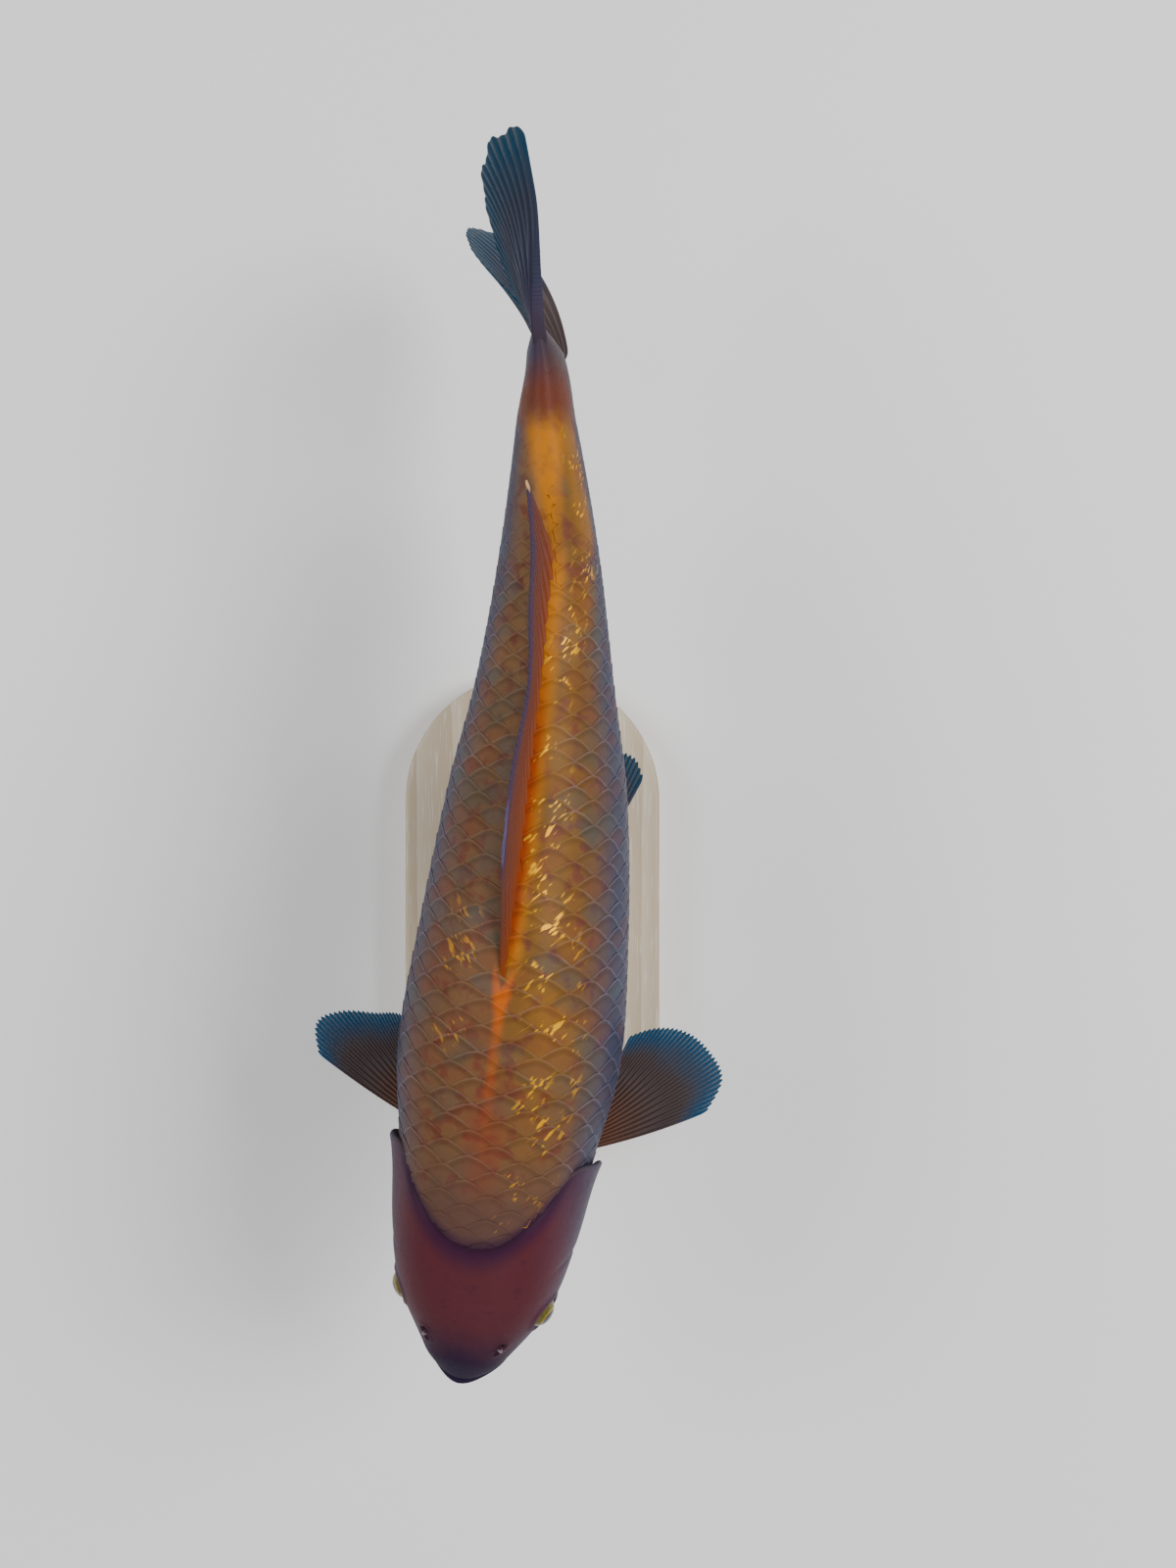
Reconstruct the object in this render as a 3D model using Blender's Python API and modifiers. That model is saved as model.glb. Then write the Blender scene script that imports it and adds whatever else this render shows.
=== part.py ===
"""Koi carp, a still life-size model on a plain display stand (metres, +Z up).

The fish is built straight, with its nose at y = 0 and its left side towards +X, and each
finished piece is then bent to the swimming curve.  "along" is a fraction of BODY_LENGTH,
measured from the nose.
"""
import math

import bmesh
import bpy
from mathutils import Vector

# ---- driving dimensions -------------------------------------------------------------
BODY_LENGTH = 0.355        # nose to the root of the tail fin, without the fin
AXIS_HEIGHT = 0.120        # body axis above the floor
MIDDLE = 0.45              # the along place that stands over the middle of the base
GAP = 0.0003               # air kept between neighbouring pieces

# The body's lengthwise curves: (along, fraction of BODY_LENGTH)
HALF_WIDTH = ((0, 0.022), (0.03, 0.0415), (0.09, 0.0762), (0.16, 0.0930), (0.235, 0.098),
              (0.33, 0.1122), (0.45, 0.106), (0.60, 0.0902), (0.70, 0.0715),
              (0.84, 0.0503), (0.95, 0.0335), (1.0, 0.0252), (1.03, 0.0192))
BACK = ((0, 0.006), (0.03, 0.034), (0.09, 0.0735), (0.155, 0.1065), (0.235, 0.1285),
        (0.33, 0.1465), (0.42, 0.151), (0.55, 0.136), (0.70, 0.106), (0.82, 0.082),
        (0.92, 0.064), (1.03, 0.060))
BELLY = ((0, -0.030), (0.03, -0.050), (0.09, -0.078), (0.155, -0.096), (0.235, -0.113),
         (0.33, -0.126), (0.42, -0.130), (0.55, -0.124), (0.70, -0.100), (0.82, -0.074),
         (0.92, -0.058), (1.03, -0.058))
WIDEST = ((0, -0.013), (0.1, -0.004), (0.3, 0.004), (0.6, 0.004), (1.03, 0.001))
CROWN_SQUARE = ((0, 2.1), (0.09, 2.7), (0.2, 2.4), (0.33, 2.15), (1.03, 2.0))
THROAT_SQUARE = ((0, 2.0), (0.09, 2.0), (0.33, 2.1), (1.03, 2.0))
NOSE = 0.03                # length of the blunt end of the nose
TAIL_ROOT = 1.03           # where the flesh ends and the tail fin starts

# The swimming curve
SWAY = 0.0547              # sideways slope of the spine at the nose, per body length
TURN = 0.85                # where the spine runs straight back before it swings over
NOD = 0.0021               # how far the nose turns to the right of that curve
NOD_END = 0.13             # where this turn of the head begins
ROLL = ((0, -5), (0.60, -4), (0.745, 0), (0.83, 4.2), (0.94, 0), (1.03, -5))  # degrees

# Head
JAW_CORNER = 0.043
COVER_THICKNESS = 0.0020
COVER_FLARE = 0.0030       # how far the gill covers stand off at their free edge
COVER_FRONT = 0.140
COVER_BACK = 0.240
EYE_ALONG = 0.0955
EYE_SIDE = 0.0219
EYE_UP = 0.0080
EYE_RADIUS = 0.0070

# Trunk and fins
STALK_ALONG = 0.865        # the cut between trunk and tail stalk
DORSAL_START, DORSAL_END = 0.405, 0.82
ANAL_START, ANAL_END = 0.76, 0.845
TAIL_REACH = 0.071         # length of the tail fin along the spine
TAIL_SET = 0.0014          # how far the end of the stalk stands over to the left

# Stand
BASE_WIDTH, BASE_LENGTH, BASE_HEIGHT = 0.104, 0.200, 0.012
ROD_RADIUS = 0.004
ROD_ALONG = {"front": 0.34, "rear": 0.58}

LEFT, RIGHT = 1, -1
SIDE_NAMES = {LEFT: "left", RIGHT: "right"}

# ---- an empty scene, with one collection for the parts and one for the cutters --------
for old in list(bpy.data.objects):
    bpy.data.objects.remove(old, do_unlink=True)


def new_collection(name):
    collection = bpy.data.collections.new(name)
    bpy.context.scene.collection.children.link(collection)
    return collection


parts = new_collection("koi_carp")
cutters = new_collection("cutters")
cutters.hide_render = True


# ---- small tools ----------------------------------------------------------------------
def smooth_step(value):
    value = min(max(value, 0.0), 1.0)
    return value * value * (3 - 2 * value)


def mix(first, second, share):
    return first + (second - first) * share


def through(knots, place):
    """Value at a place on the smooth curve through (place, value) knots."""
    last = len(knots) - 1
    start = 0
    while start < last - 1 and place > knots[start + 1][0]:
        start += 1

    def slope(index):
        before, after = knots[max(index - 1, 0)], knots[min(index + 1, last)]
        return (after[1] - before[1]) / (after[0] - before[0])

    (x0, y0), (x1, y1) = knots[start], knots[start + 1]
    span = x1 - x0
    f = min(max((place - x0) / span, 0.0), 1.0)
    rise = f * f * (3 - 2 * f)
    bow = f * (1 - f) * span
    return mix(y0, y1, rise) + bow * ((1 - f) * slope(start) - f * slope(start + 1))


def material(name, colour, roughness, metallic=0.0):
    made = bpy.data.materials.new(name)
    made.use_nodes = True
    shader = made.node_tree.nodes["Principled BSDF"]
    shader.inputs["Base Color"].default_value = (*colour, 1.0)
    shader.inputs["Roughness"].default_value = roughness
    shader.inputs["Metallic"].default_value = metallic
    return made


def piece_from(name, bm, finish=None):
    """Turn a bmesh into a named piece, or into a cutter where it has no finish."""
    mesh = bpy.data.meshes.new(name)
    bm.to_mesh(mesh)
    bm.free()
    made = bpy.data.objects.new(name, mesh)
    if finish is None:
        cutters.objects.link(made)
        made.display_type = "WIRE"
        made.hide_render = True
    else:
        parts.objects.link(made)
        mesh.materials.append(finish)
        mesh.shade_smooth()
    return made


def carve(piece, cutter, operation="DIFFERENCE"):
    boolean = piece.modifiers.new("carve", "BOOLEAN")
    boolean.solver = "EXACT"
    boolean.operation = operation
    boolean.object = cutter


def settle(piece):
    """Keep a piece as its modifiers leave it, and drop the modifiers."""
    evaluated = piece.evaluated_get(bpy.context.evaluated_depsgraph_get())
    mesh = bpy.data.meshes.new_from_object(evaluated)
    piece.modifiers.clear()
    old, piece.data = piece.data, mesh
    bpy.data.meshes.remove(old)


# ---- the straight body and the bend ------------------------------------------------------
def stalk_set(along):
    """How far to the left a section near the tail root stands."""
    return TAIL_SET * smooth_step((along - 0.965) / 0.06)


def skin_point(along, angle, grow=0.0):
    """Point of the straight body; angle 0 is its left side and 90 degrees its back."""
    blunt = math.sqrt(1 - (1 - min(along / NOSE, 1.0)) ** 2)
    upper = math.sin(angle) > 0
    level = through(WIDEST, along) * BODY_LENGTH
    edge = through(BACK if upper else BELLY, along) * BODY_LENGTH
    square = through(CROWN_SQUARE if upper else THROAT_SQUARE, along)
    radius = (abs(math.cos(angle)) ** square + abs(math.sin(angle)) ** square) ** (-1 / square)
    half_width = through(HALF_WIDTH, along) * BODY_LENGTH * blunt + grow
    half_height = abs(edge - level) * blunt + grow
    return Vector((half_width * radius * math.cos(angle) + stalk_set(along),
                   along * BODY_LENGTH, level + half_height * radius * math.sin(angle)))


def skin_normal(along, angle):
    step = 0.002
    ahead = skin_point(along + step, angle) - skin_point(along - step, angle)
    around = skin_point(along, angle + step) - skin_point(along, angle - step)
    return ahead.cross(around).normalized()


def spine_point(along):
    nod = max(1 - along / NOD_END, 0.0)
    side = SWAY * (along - along ** 3 / (3 * TURN ** 2)) - NOD * nod ** 2
    side_at_middle = SWAY * (MIDDLE - MIDDLE ** 3 / (3 * TURN ** 2))
    return Vector((side - side_at_middle, (along - MIDDLE) * BODY_LENGTH, AXIS_HEIGHT))


def bent(point):
    """Place in the world of a point of the straight fish."""
    along = point.y / BODY_LENGTH
    nod = max(1 - along / NOD_END, 0.0)
    slope = SWAY * (1 - (along / TURN) ** 2) + 2 * NOD * nod / NOD_END
    heading = math.atan(slope / BODY_LENGTH)
    roll = math.radians(through(ROLL, along))
    across = point.x * math.cos(roll) + point.z * math.sin(roll)
    up = point.z * math.cos(roll) - point.x * math.sin(roll)
    left = Vector((math.cos(heading), -math.sin(heading), 0))
    return spine_point(along) + left * across + Vector((0, 0, up))


def bend(piece):
    for vert in piece.data.vertices:
        vert.co = bent(vert.co)


def whole_body(name, finish=None, grow=0.0, around=32, rings=54):
    """The whole fleshy body as one closed form: a sphere whose rings go to their stations."""
    bm = bmesh.new()
    bmesh.ops.create_uvsphere(bm, u_segments=around, v_segments=rings, radius=1.0)
    for vert in bm.verts:
        ring = round(math.acos(max(-1.0, min(1.0, -vert.co.z))) / math.pi * rings)
        along = TAIL_ROOT * min(1.0, (ring / (rings - 1)) ** 1.2)
        if ring == rings:
            vert.co = Vector((TAIL_SET, TAIL_ROOT * BODY_LENGTH + grow, 0))
        else:
            angle = math.atan2(vert.co.y, vert.co.x)
            vert.co = skin_point(along, angle, grow)
            vert.co.y += grow if ring == rings - 1 else 0.0
    bmesh.ops.reverse_faces(bm, faces=bm.faces)
    return piece_from(name, bm, finish)


def side_block(name, outline):
    """Cutter: an outline drawn from the side as (along, height), pushed through the body."""
    curve = bpy.data.curves.new(name, "CURVE")
    curve.dimensions = "2D"
    curve.fill_mode = "BOTH"
    curve.extrude = 0.08
    spline = curve.splines.new("POLY")
    spline.points.add(len(outline) - 1)
    for point, (along, height) in zip(spline.points, outline):
        point.co = (along * BODY_LENGTH, height, 0, 1)
    spline.use_cyclic_u = True
    drawn = bpy.data.objects.new(name + "_outline", curve)
    cutters.objects.link(drawn)
    bpy.context.view_layer.update()
    evaluated = drawn.evaluated_get(bpy.context.evaluated_depsgraph_get())
    bm = bmesh.new()
    bm.from_mesh(bpy.data.meshes.new_from_object(evaluated))
    bmesh.ops.remove_doubles(bm, verts=bm.verts, dist=1e-6)
    for vert in bm.verts:
        vert.co = Vector((vert.co.z, vert.co.x, vert.co.y))
    bmesh.ops.recalc_face_normals(bm, faces=bm.faces)
    bpy.data.objects.remove(drawn, do_unlink=True)
    return piece_from(name, bm)


def head_block(grow):
    """All that lies ahead of the shoulder line: a U on the nape that ends in the gill slit."""
    line = ((0.150, 0.050), (0.155, 0.0385), (0.160, 0.0372), (0.170, 0.0358), (0.182, 0.0340),
            (0.196, 0.0310), (0.210, 0.0278), (0.219, 0.0200), (0.222, 0.0060), (0.218, -0.0100),
            (0.206, -0.0240), (0.188, -0.0350), (0.168, -0.0450), (0.160, -0.0600))
    back = [(along + grow / BODY_LENGTH, height) for along, height in line]
    return side_block("head_block", [(-0.1, 0.050), *back, (-0.1, -0.060)])


def jaw_block(grow):
    """The lower jaw: below the mouth line, and ahead of the throat."""
    mouth, corner, throat = -0.0062 + grow, -0.0125 + grow, 0.080 + grow / BODY_LENGTH
    return side_block("jaw_block", [(-0.05, mouth + 0.004), (0.0, mouth), (JAW_CORNER, corner),
                                    (throat, -0.050), (-0.05, -0.050)])


# ---- flesh: head, jaw, trunk and tail stalk ----------------------------------------------
def gill_cover(name, side, finish=None, grow=0.0):
    """A curved plate on the side of the head, held in front and free behind."""
    tallest = math.radians(5)
    low, high = math.radians(-62) - grow / 0.04, math.radians(48) + grow / 0.04
    bm = bmesh.new()
    bmesh.ops.create_grid(bm, x_segments=9, y_segments=9, size=0.5)
    for vert in bm.verts:
        back, up = vert.co.x + 0.5, vert.co.y + 0.5
        angle = mix(low, high, up)
        rear = COVER_BACK - 0.036 * ((angle - tallest) / (high - tallest)) ** 2
        along = mix(COVER_FRONT - grow / BODY_LENGTH, rear + grow / BODY_LENGTH, back)
        if side == RIGHT:
            angle = math.pi - angle
        lift = 0.0002 + COVER_FLARE * back ** 2 + 4 * grow
        vert.co = skin_point(along, angle) + skin_normal(along, angle) * lift
    if side == RIGHT:
        bmesh.ops.reverse_faces(bm, faces=bm.faces)
    piece = piece_from(name, bm, finish)
    wall = piece.modifiers.new("wall", "SOLIDIFY")
    wall.thickness = COVER_THICKNESS + 5 * grow
    wall.offset = -1
    return piece


def eye_ball(name, side, finish=None, grow=0.0):
    bm = bmesh.new()
    bmesh.ops.create_uvsphere(bm, u_segments=14, v_segments=8, radius=EYE_RADIUS + grow)
    place = Vector((side * EYE_SIDE, EYE_ALONG * BODY_LENGTH, EYE_UP))
    bmesh.ops.translate(bm, verts=bm.verts, vec=place)
    return piece_from(name, bm, finish)


def make_flesh(skin, scaled_skin):
    """The body parted into head, lower jaw, trunk and tail stalk by thin cuts."""
    head = whole_body("head", skin)
    jaw = whole_body("lower_jaw", skin)
    trunk = whole_body("trunk", scaled_skin)
    stalk = whole_body("tail_stalk", scaled_skin)
    carve(head, head_block(0.0), "INTERSECT")
    carve(head, jaw_block(GAP))
    carve(jaw, jaw_block(0.0), "INTERSECT")
    carve(trunk, head_block(GAP))
    for side, word in SIDE_NAMES.items():
        pocket = gill_cover("cover_pocket_" + word, side, grow=GAP)
        settle(pocket)
        carve(head, pocket)
        carve(trunk, pocket)
        carve(head, eye_ball("eye_socket_" + word, side, grow=GAP))
    for piece in (head, jaw, trunk, stalk):
        settle(piece)
    cut_across(trunk, STALK_ALONG, keep_front=True)
    cut_across(stalk, STALK_ALONG + GAP / BODY_LENGTH, keep_front=False)
    return [head, jaw, trunk, stalk]


def cut_across(piece, along, keep_front):
    bm = bmesh.new()
    bm.from_mesh(piece.data)
    bmesh.ops.bisect_plane(bm, geom=[*bm.verts, *bm.edges, *bm.faces], dist=1e-7,
                           plane_co=(0, along * BODY_LENGTH, 0), plane_no=(0, 1, 0),
                           clear_outer=keep_front, clear_inner=not keep_front)
    rim = [edge for edge in bm.edges if edge.is_boundary]
    bmesh.ops.edgeloop_fill(bm, edges=rim)
    bmesh.ops.recalc_face_normals(bm, faces=bm.faces)
    bm.to_mesh(piece.data)
    bm.free()


# ---- fins: thin tapering sheets on a fan of rays --------------------------------------------
def fin(name, finish, ray_point, rays, steps, root_thickness, tip_thickness=0.0008):
    """A fin whose mid surface is ray_point(across, out), both running from 0 to 1."""
    bm = bmesh.new()
    bmesh.ops.create_grid(bm, x_segments=rays, y_segments=steps, size=0.5)
    weights = bm.verts.layers.deform.verify()
    for vert in bm.verts:
        across, out = vert.co.x + 0.5, vert.co.y + 0.5
        vert[weights][0] = mix(1.0, tip_thickness / root_thickness, smooth_step(out * 1.2))
        vert.co = ray_point(across, out)
    piece = piece_from(name, bm, finish)
    piece.vertex_groups.new(name="taper")
    wall = piece.modifiers.new("wall", "SOLIDIFY")
    wall.thickness = root_thickness
    wall.offset = 0
    wall.vertex_group = "taper"
    return piece


def pectoral_ray(side):
    """Spread almost level, low behind the gill cover; the left one is the more open."""
    if side == LEFT:
        lengths = ((0, 0.050), (0.18, 0.059), (0.4, 0.058), (0.6, 0.054), (0.8, 0.046), (1, 0.035))
    else:
        lengths = ((0, 0.051), (0.18, 0.058), (0.35, 0.054), (0.6, 0.043), (0.8, 0.037), (1, 0.029))

    def ray_point(across, out):
        root = Vector((side * mix(0.0275, 0.0265, across), mix(0.0835, 0.0960, across), -0.0215))
        angle = math.radians(mix(19.5, 60, across) + 6 * out)
        length = through(lengths, across) * out
        droop = -0.0015 * math.sin(math.pi * across) * out + 0.002 * out ** 2
        return root + Vector((side * math.cos(angle), math.sin(angle), 0)) * length \
            + Vector((0, 0, droop))
    return ray_point


def pelvic_ray(side, spread):
    """Under the belly, swept back and a little down."""
    lengths = ((0, 0.052), (0.2, 0.056), (0.5, 0.052), (1, 0.034))

    def ray_point(across, out):
        root = Vector((side * mix(0.0135, 0.0085, across), mix(0.173, 0.183, across), -0.0380))
        angle = math.radians(mix(spread, 90, across))
        length = through(lengths, across) * out
        return root + Vector((side * math.cos(angle) * length, math.sin(angle) * length,
                              -0.30 * length + 0.0015 * out))
    return ray_point


def anal_ray(across, out):
    """Behind the vent, half folded."""
    along = mix(ANAL_START, ANAL_END, across)
    root_height = through(BELLY, along) * BODY_LENGTH + 0.003
    length = through(((0, 0.040), (0.2, 0.047), (0.6, 0.036), (1, 0.024)), across) * out
    angle = math.radians(mix(50, 34, across) - 6 * out)
    return Vector((-0.004 * out ** 2, along * BODY_LENGTH + math.cos(angle) * length,
                   root_height - math.sin(angle) * length))


def dorsal_ray(across, out):
    """Folded down along the back, leaning over to the right."""
    along = mix(DORSAL_START, DORSAL_END, across)
    length = through(((0, 0.048), (0.08, 0.062), (0.5, 0.042), (1, 0.030)), across)
    place = along + out * length * math.cos(math.radians(13)) / BODY_LENGTH
    height = math.sin(math.radians(13)) * length * out - 0.002 * (1 - out)
    lean = out * through(((0.42, 0.004), (0.6, 0.0045), (0.7, 0.0035), (0.8, 0.0078),
                          (0.92, 0.0085)), place)
    return Vector((-lean, place * BODY_LENGTH, through(BACK, place) * BODY_LENGTH + height))


def tail_ray(lobe):
    """Half of the forked tail fin; both halves share one cupped and swept surface."""
    lengths = ((0, 0.025), (0.25, 0.044), (0.5, 0.062), (0.75, 0.076), (0.9, 0.080), (1, 0.078))
    slit = GAP / 0.04

    def sway(reach, height):
        upper = smooth_step(height + 0.5)
        middle = mix(-0.048 * reach ** 1.3, -0.027 * reach ** 1.55, upper)
        top_edge = 0.0072 * smooth_step(reach / 0.7)
        low_edge = 0.0045 * smooth_step(reach / 0.08) - 0.037 * reach ** 3.1
        edge = top_edge if height > 0 else low_edge
        root_set = TAIL_SET * (1 - smooth_step(reach / 0.5))
        return mix(middle, edge, height ** 2) + root_set

    def ray_point(across, out):
        height = lobe * mix(slit, 1.0, across)
        length = through(lengths, abs(height)) * (0.99 if lobe > 0 else 0.87) * out
        angle = math.radians(24 * height)
        reach = max(length - 0.003, 0.0) * math.cos(angle) / TAIL_REACH
        root = Vector((0, TAIL_ROOT * BODY_LENGTH - 0.002, height * 0.0200))
        return root + Vector((sway(reach, height), math.cos(angle) * length,
                              math.sin(angle) * length))
    return ray_point


def make_fins(membrane):
    made = [
        fin("dorsal_fin", membrane, dorsal_ray, 14, 3, 0.0034, 0.0014),
        fin("anal_fin", membrane, anal_ray, 6, 6, 0.0030),
        fin("tail_fin_upper", membrane, tail_ray(1), 8, 7, 0.0092, 0.0010),
        fin("tail_fin_lower", membrane, tail_ray(-1), 8, 7, 0.0092, 0.0010),
        fin("pectoral_fin_left", membrane, pectoral_ray(LEFT), 9, 7, 0.0036),
        fin("pectoral_fin_right", membrane, pectoral_ray(RIGHT), 9, 7, 0.0036),
        fin("pelvic_fin_left", membrane, pelvic_ray(LEFT, 65), 6, 6, 0.0030),
        fin("pelvic_fin_right", membrane, pelvic_ray(RIGHT, 72), 6, 6, 0.0030),
    ]
    clear_of_body = whole_body("body_clearance", grow=GAP)
    for piece in made:
        carve(piece, clear_of_body)
        settle(piece)
    return made


# ---- feelers ---------------------------------------------------------------------------------
def feeler(name, finish, side, along, angle, length, thickness):
    """A soft feeler that starts on the lip and hangs back along the cheek."""
    root_angle = math.radians(angle if side == LEFT else 180 - angle)
    root = skin_point(along, root_angle) - skin_normal(along, root_angle) * 0.001
    curve = bpy.data.curves.new(name, "CURVE")
    curve.dimensions = "3D"
    curve.bevel_depth = thickness / 2
    curve.bevel_resolution = 1
    curve.use_fill_caps = True
    spline = curve.splines.new("POLY")
    steps = 5
    spline.points.add(steps)
    for index, point in enumerate(spline.points):
        out = index / steps
        run = Vector((side * 0.45 * (1 - 0.5 * out), 0.10 + 0.40 * out, -0.85)) * length * out
        point.co = (*(root + run), 1)
        point.radius = mix(1.0, 0.55, out)
    drawn = bpy.data.objects.new(name + "_path", curve)
    cutters.objects.link(drawn)
    bpy.context.view_layer.update()
    evaluated = drawn.evaluated_get(bpy.context.evaluated_depsgraph_get())
    bm = bmesh.new()
    bm.from_mesh(bpy.data.meshes.new_from_object(evaluated))
    bmesh.ops.remove_doubles(bm, verts=bm.verts, dist=1e-6)
    bmesh.ops.recalc_face_normals(bm, faces=bm.faces)
    bpy.data.objects.remove(drawn, do_unlink=True)
    return piece_from(name, bm, finish)


def make_feelers(skin):
    clear_of_body = bpy.data.objects["body_clearance"]
    made = []
    for side, word in SIDE_NAMES.items():
        corner = feeler("barbel_mouth_" + word, skin, side, 0.046, -34, 0.0130, 0.0022)
        lip = feeler("barbel_lip_" + word, skin, side, 0.024, -30, 0.0070, 0.0016)
        for piece in (corner, lip):
            carve(piece, clear_of_body)
            settle(piece)
            made.append(piece)
    return made


# ---- stand ---------------------------------------------------------------------------------
def make_base(finish):
    """A flat plate with round ends and a softened upper edge, resting on its whole underside."""
    segments, soften = 48, 0.0015
    bm = bmesh.new()
    bmesh.ops.create_circle(bm, cap_ends=True, segments=segments, radius=BASE_WIDTH / 2)
    straight = (BASE_LENGTH - BASE_WIDTH) / 2
    for vert in bm.verts:
        turn = math.atan2(vert.co.y, vert.co.x) + math.pi / segments
        end = straight if math.sin(turn) > 0 else -straight
        vert.co = Vector((math.cos(turn), math.sin(turn), 0)) * BASE_WIDTH / 2 \
            + Vector((0, end, 0))
    raised = bmesh.ops.extrude_face_region(bm, geom=bm.faces[:])["geom"]
    top = [item for item in raised if isinstance(item, bmesh.types.BMVert)]
    bmesh.ops.translate(bm, verts=top, vec=(0, 0, BASE_HEIGHT))
    rim = [edge for edge in bm.edges if all(vert in top for vert in edge.verts)]
    bmesh.ops.bevel(bm, geom=rim, offset=soften, segments=2, profile=0.5, affect="EDGES")
    bmesh.ops.recalc_face_normals(bm, faces=bm.faces)
    base = piece_from("stand_base", bm, finish)
    base.data.shade_flat()
    return base


def make_rod(word, finish, clear_of_body):
    """A round rod from the base up to the belly, which it meets end on."""
    along = ROD_ALONG[word]
    under_belly = bent(Vector((0, along * BODY_LENGTH, through(BELLY, along) * BODY_LENGTH)))
    low = BASE_HEIGHT + GAP
    height = under_belly.z + 0.010 - low
    bm = bmesh.new()
    bmesh.ops.create_cone(bm, cap_ends=True, segments=16, radius1=ROD_RADIUS,
                          radius2=ROD_RADIUS, depth=height)
    place = Vector((under_belly.x, under_belly.y, low + height / 2))
    bmesh.ops.translate(bm, verts=bm.verts, vec=place)
    rod = piece_from("stand_rod_" + word, bm, finish)
    carve(rod, clear_of_body)


# ---- put together ---------------------------------------------------------------------------
head_skin = material("head_skin", (0.105, 0.032, 0.038), 0.35)
scaled_skin = material("scaled_skin", (0.19, 0.095, 0.045), 0.35)
fin_membrane = material("fin_membrane", (0.075, 0.060, 0.065), 0.45)
eye_finish = material("eye", (0.10, 0.075, 0.025), 0.12)
stand_plate = material("stand_plate", (0.70, 0.66, 0.58), 0.5)
stand_steel = material("stand_steel", (0.62, 0.62, 0.60), 0.3, 1.0)

fish = make_flesh(head_skin, scaled_skin)
fish += make_fins(fin_membrane)
fish += make_feelers(head_skin)
for side, word in SIDE_NAMES.items():
    cover = gill_cover("gill_cover_" + word, side, head_skin)
    settle(cover)
    fish.append(cover)
    fish.append(eye_ball("eye_" + word, side, eye_finish))

straight_cutters = [item for item in cutters.objects if item.name != "body_clearance"]
for item in straight_cutters:
    bpy.data.objects.remove(item, do_unlink=True)
for piece in (*fish, bpy.data.objects["body_clearance"]):
    bend(piece)

make_base(stand_plate)
for word in ROD_ALONG:
    make_rod(word, stand_steel, bpy.data.objects["body_clearance"])
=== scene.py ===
import random
from functools import partial
from math import acos, asin, atan, atan2, cos, exp, pi, radians, sin, sqrt

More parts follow.
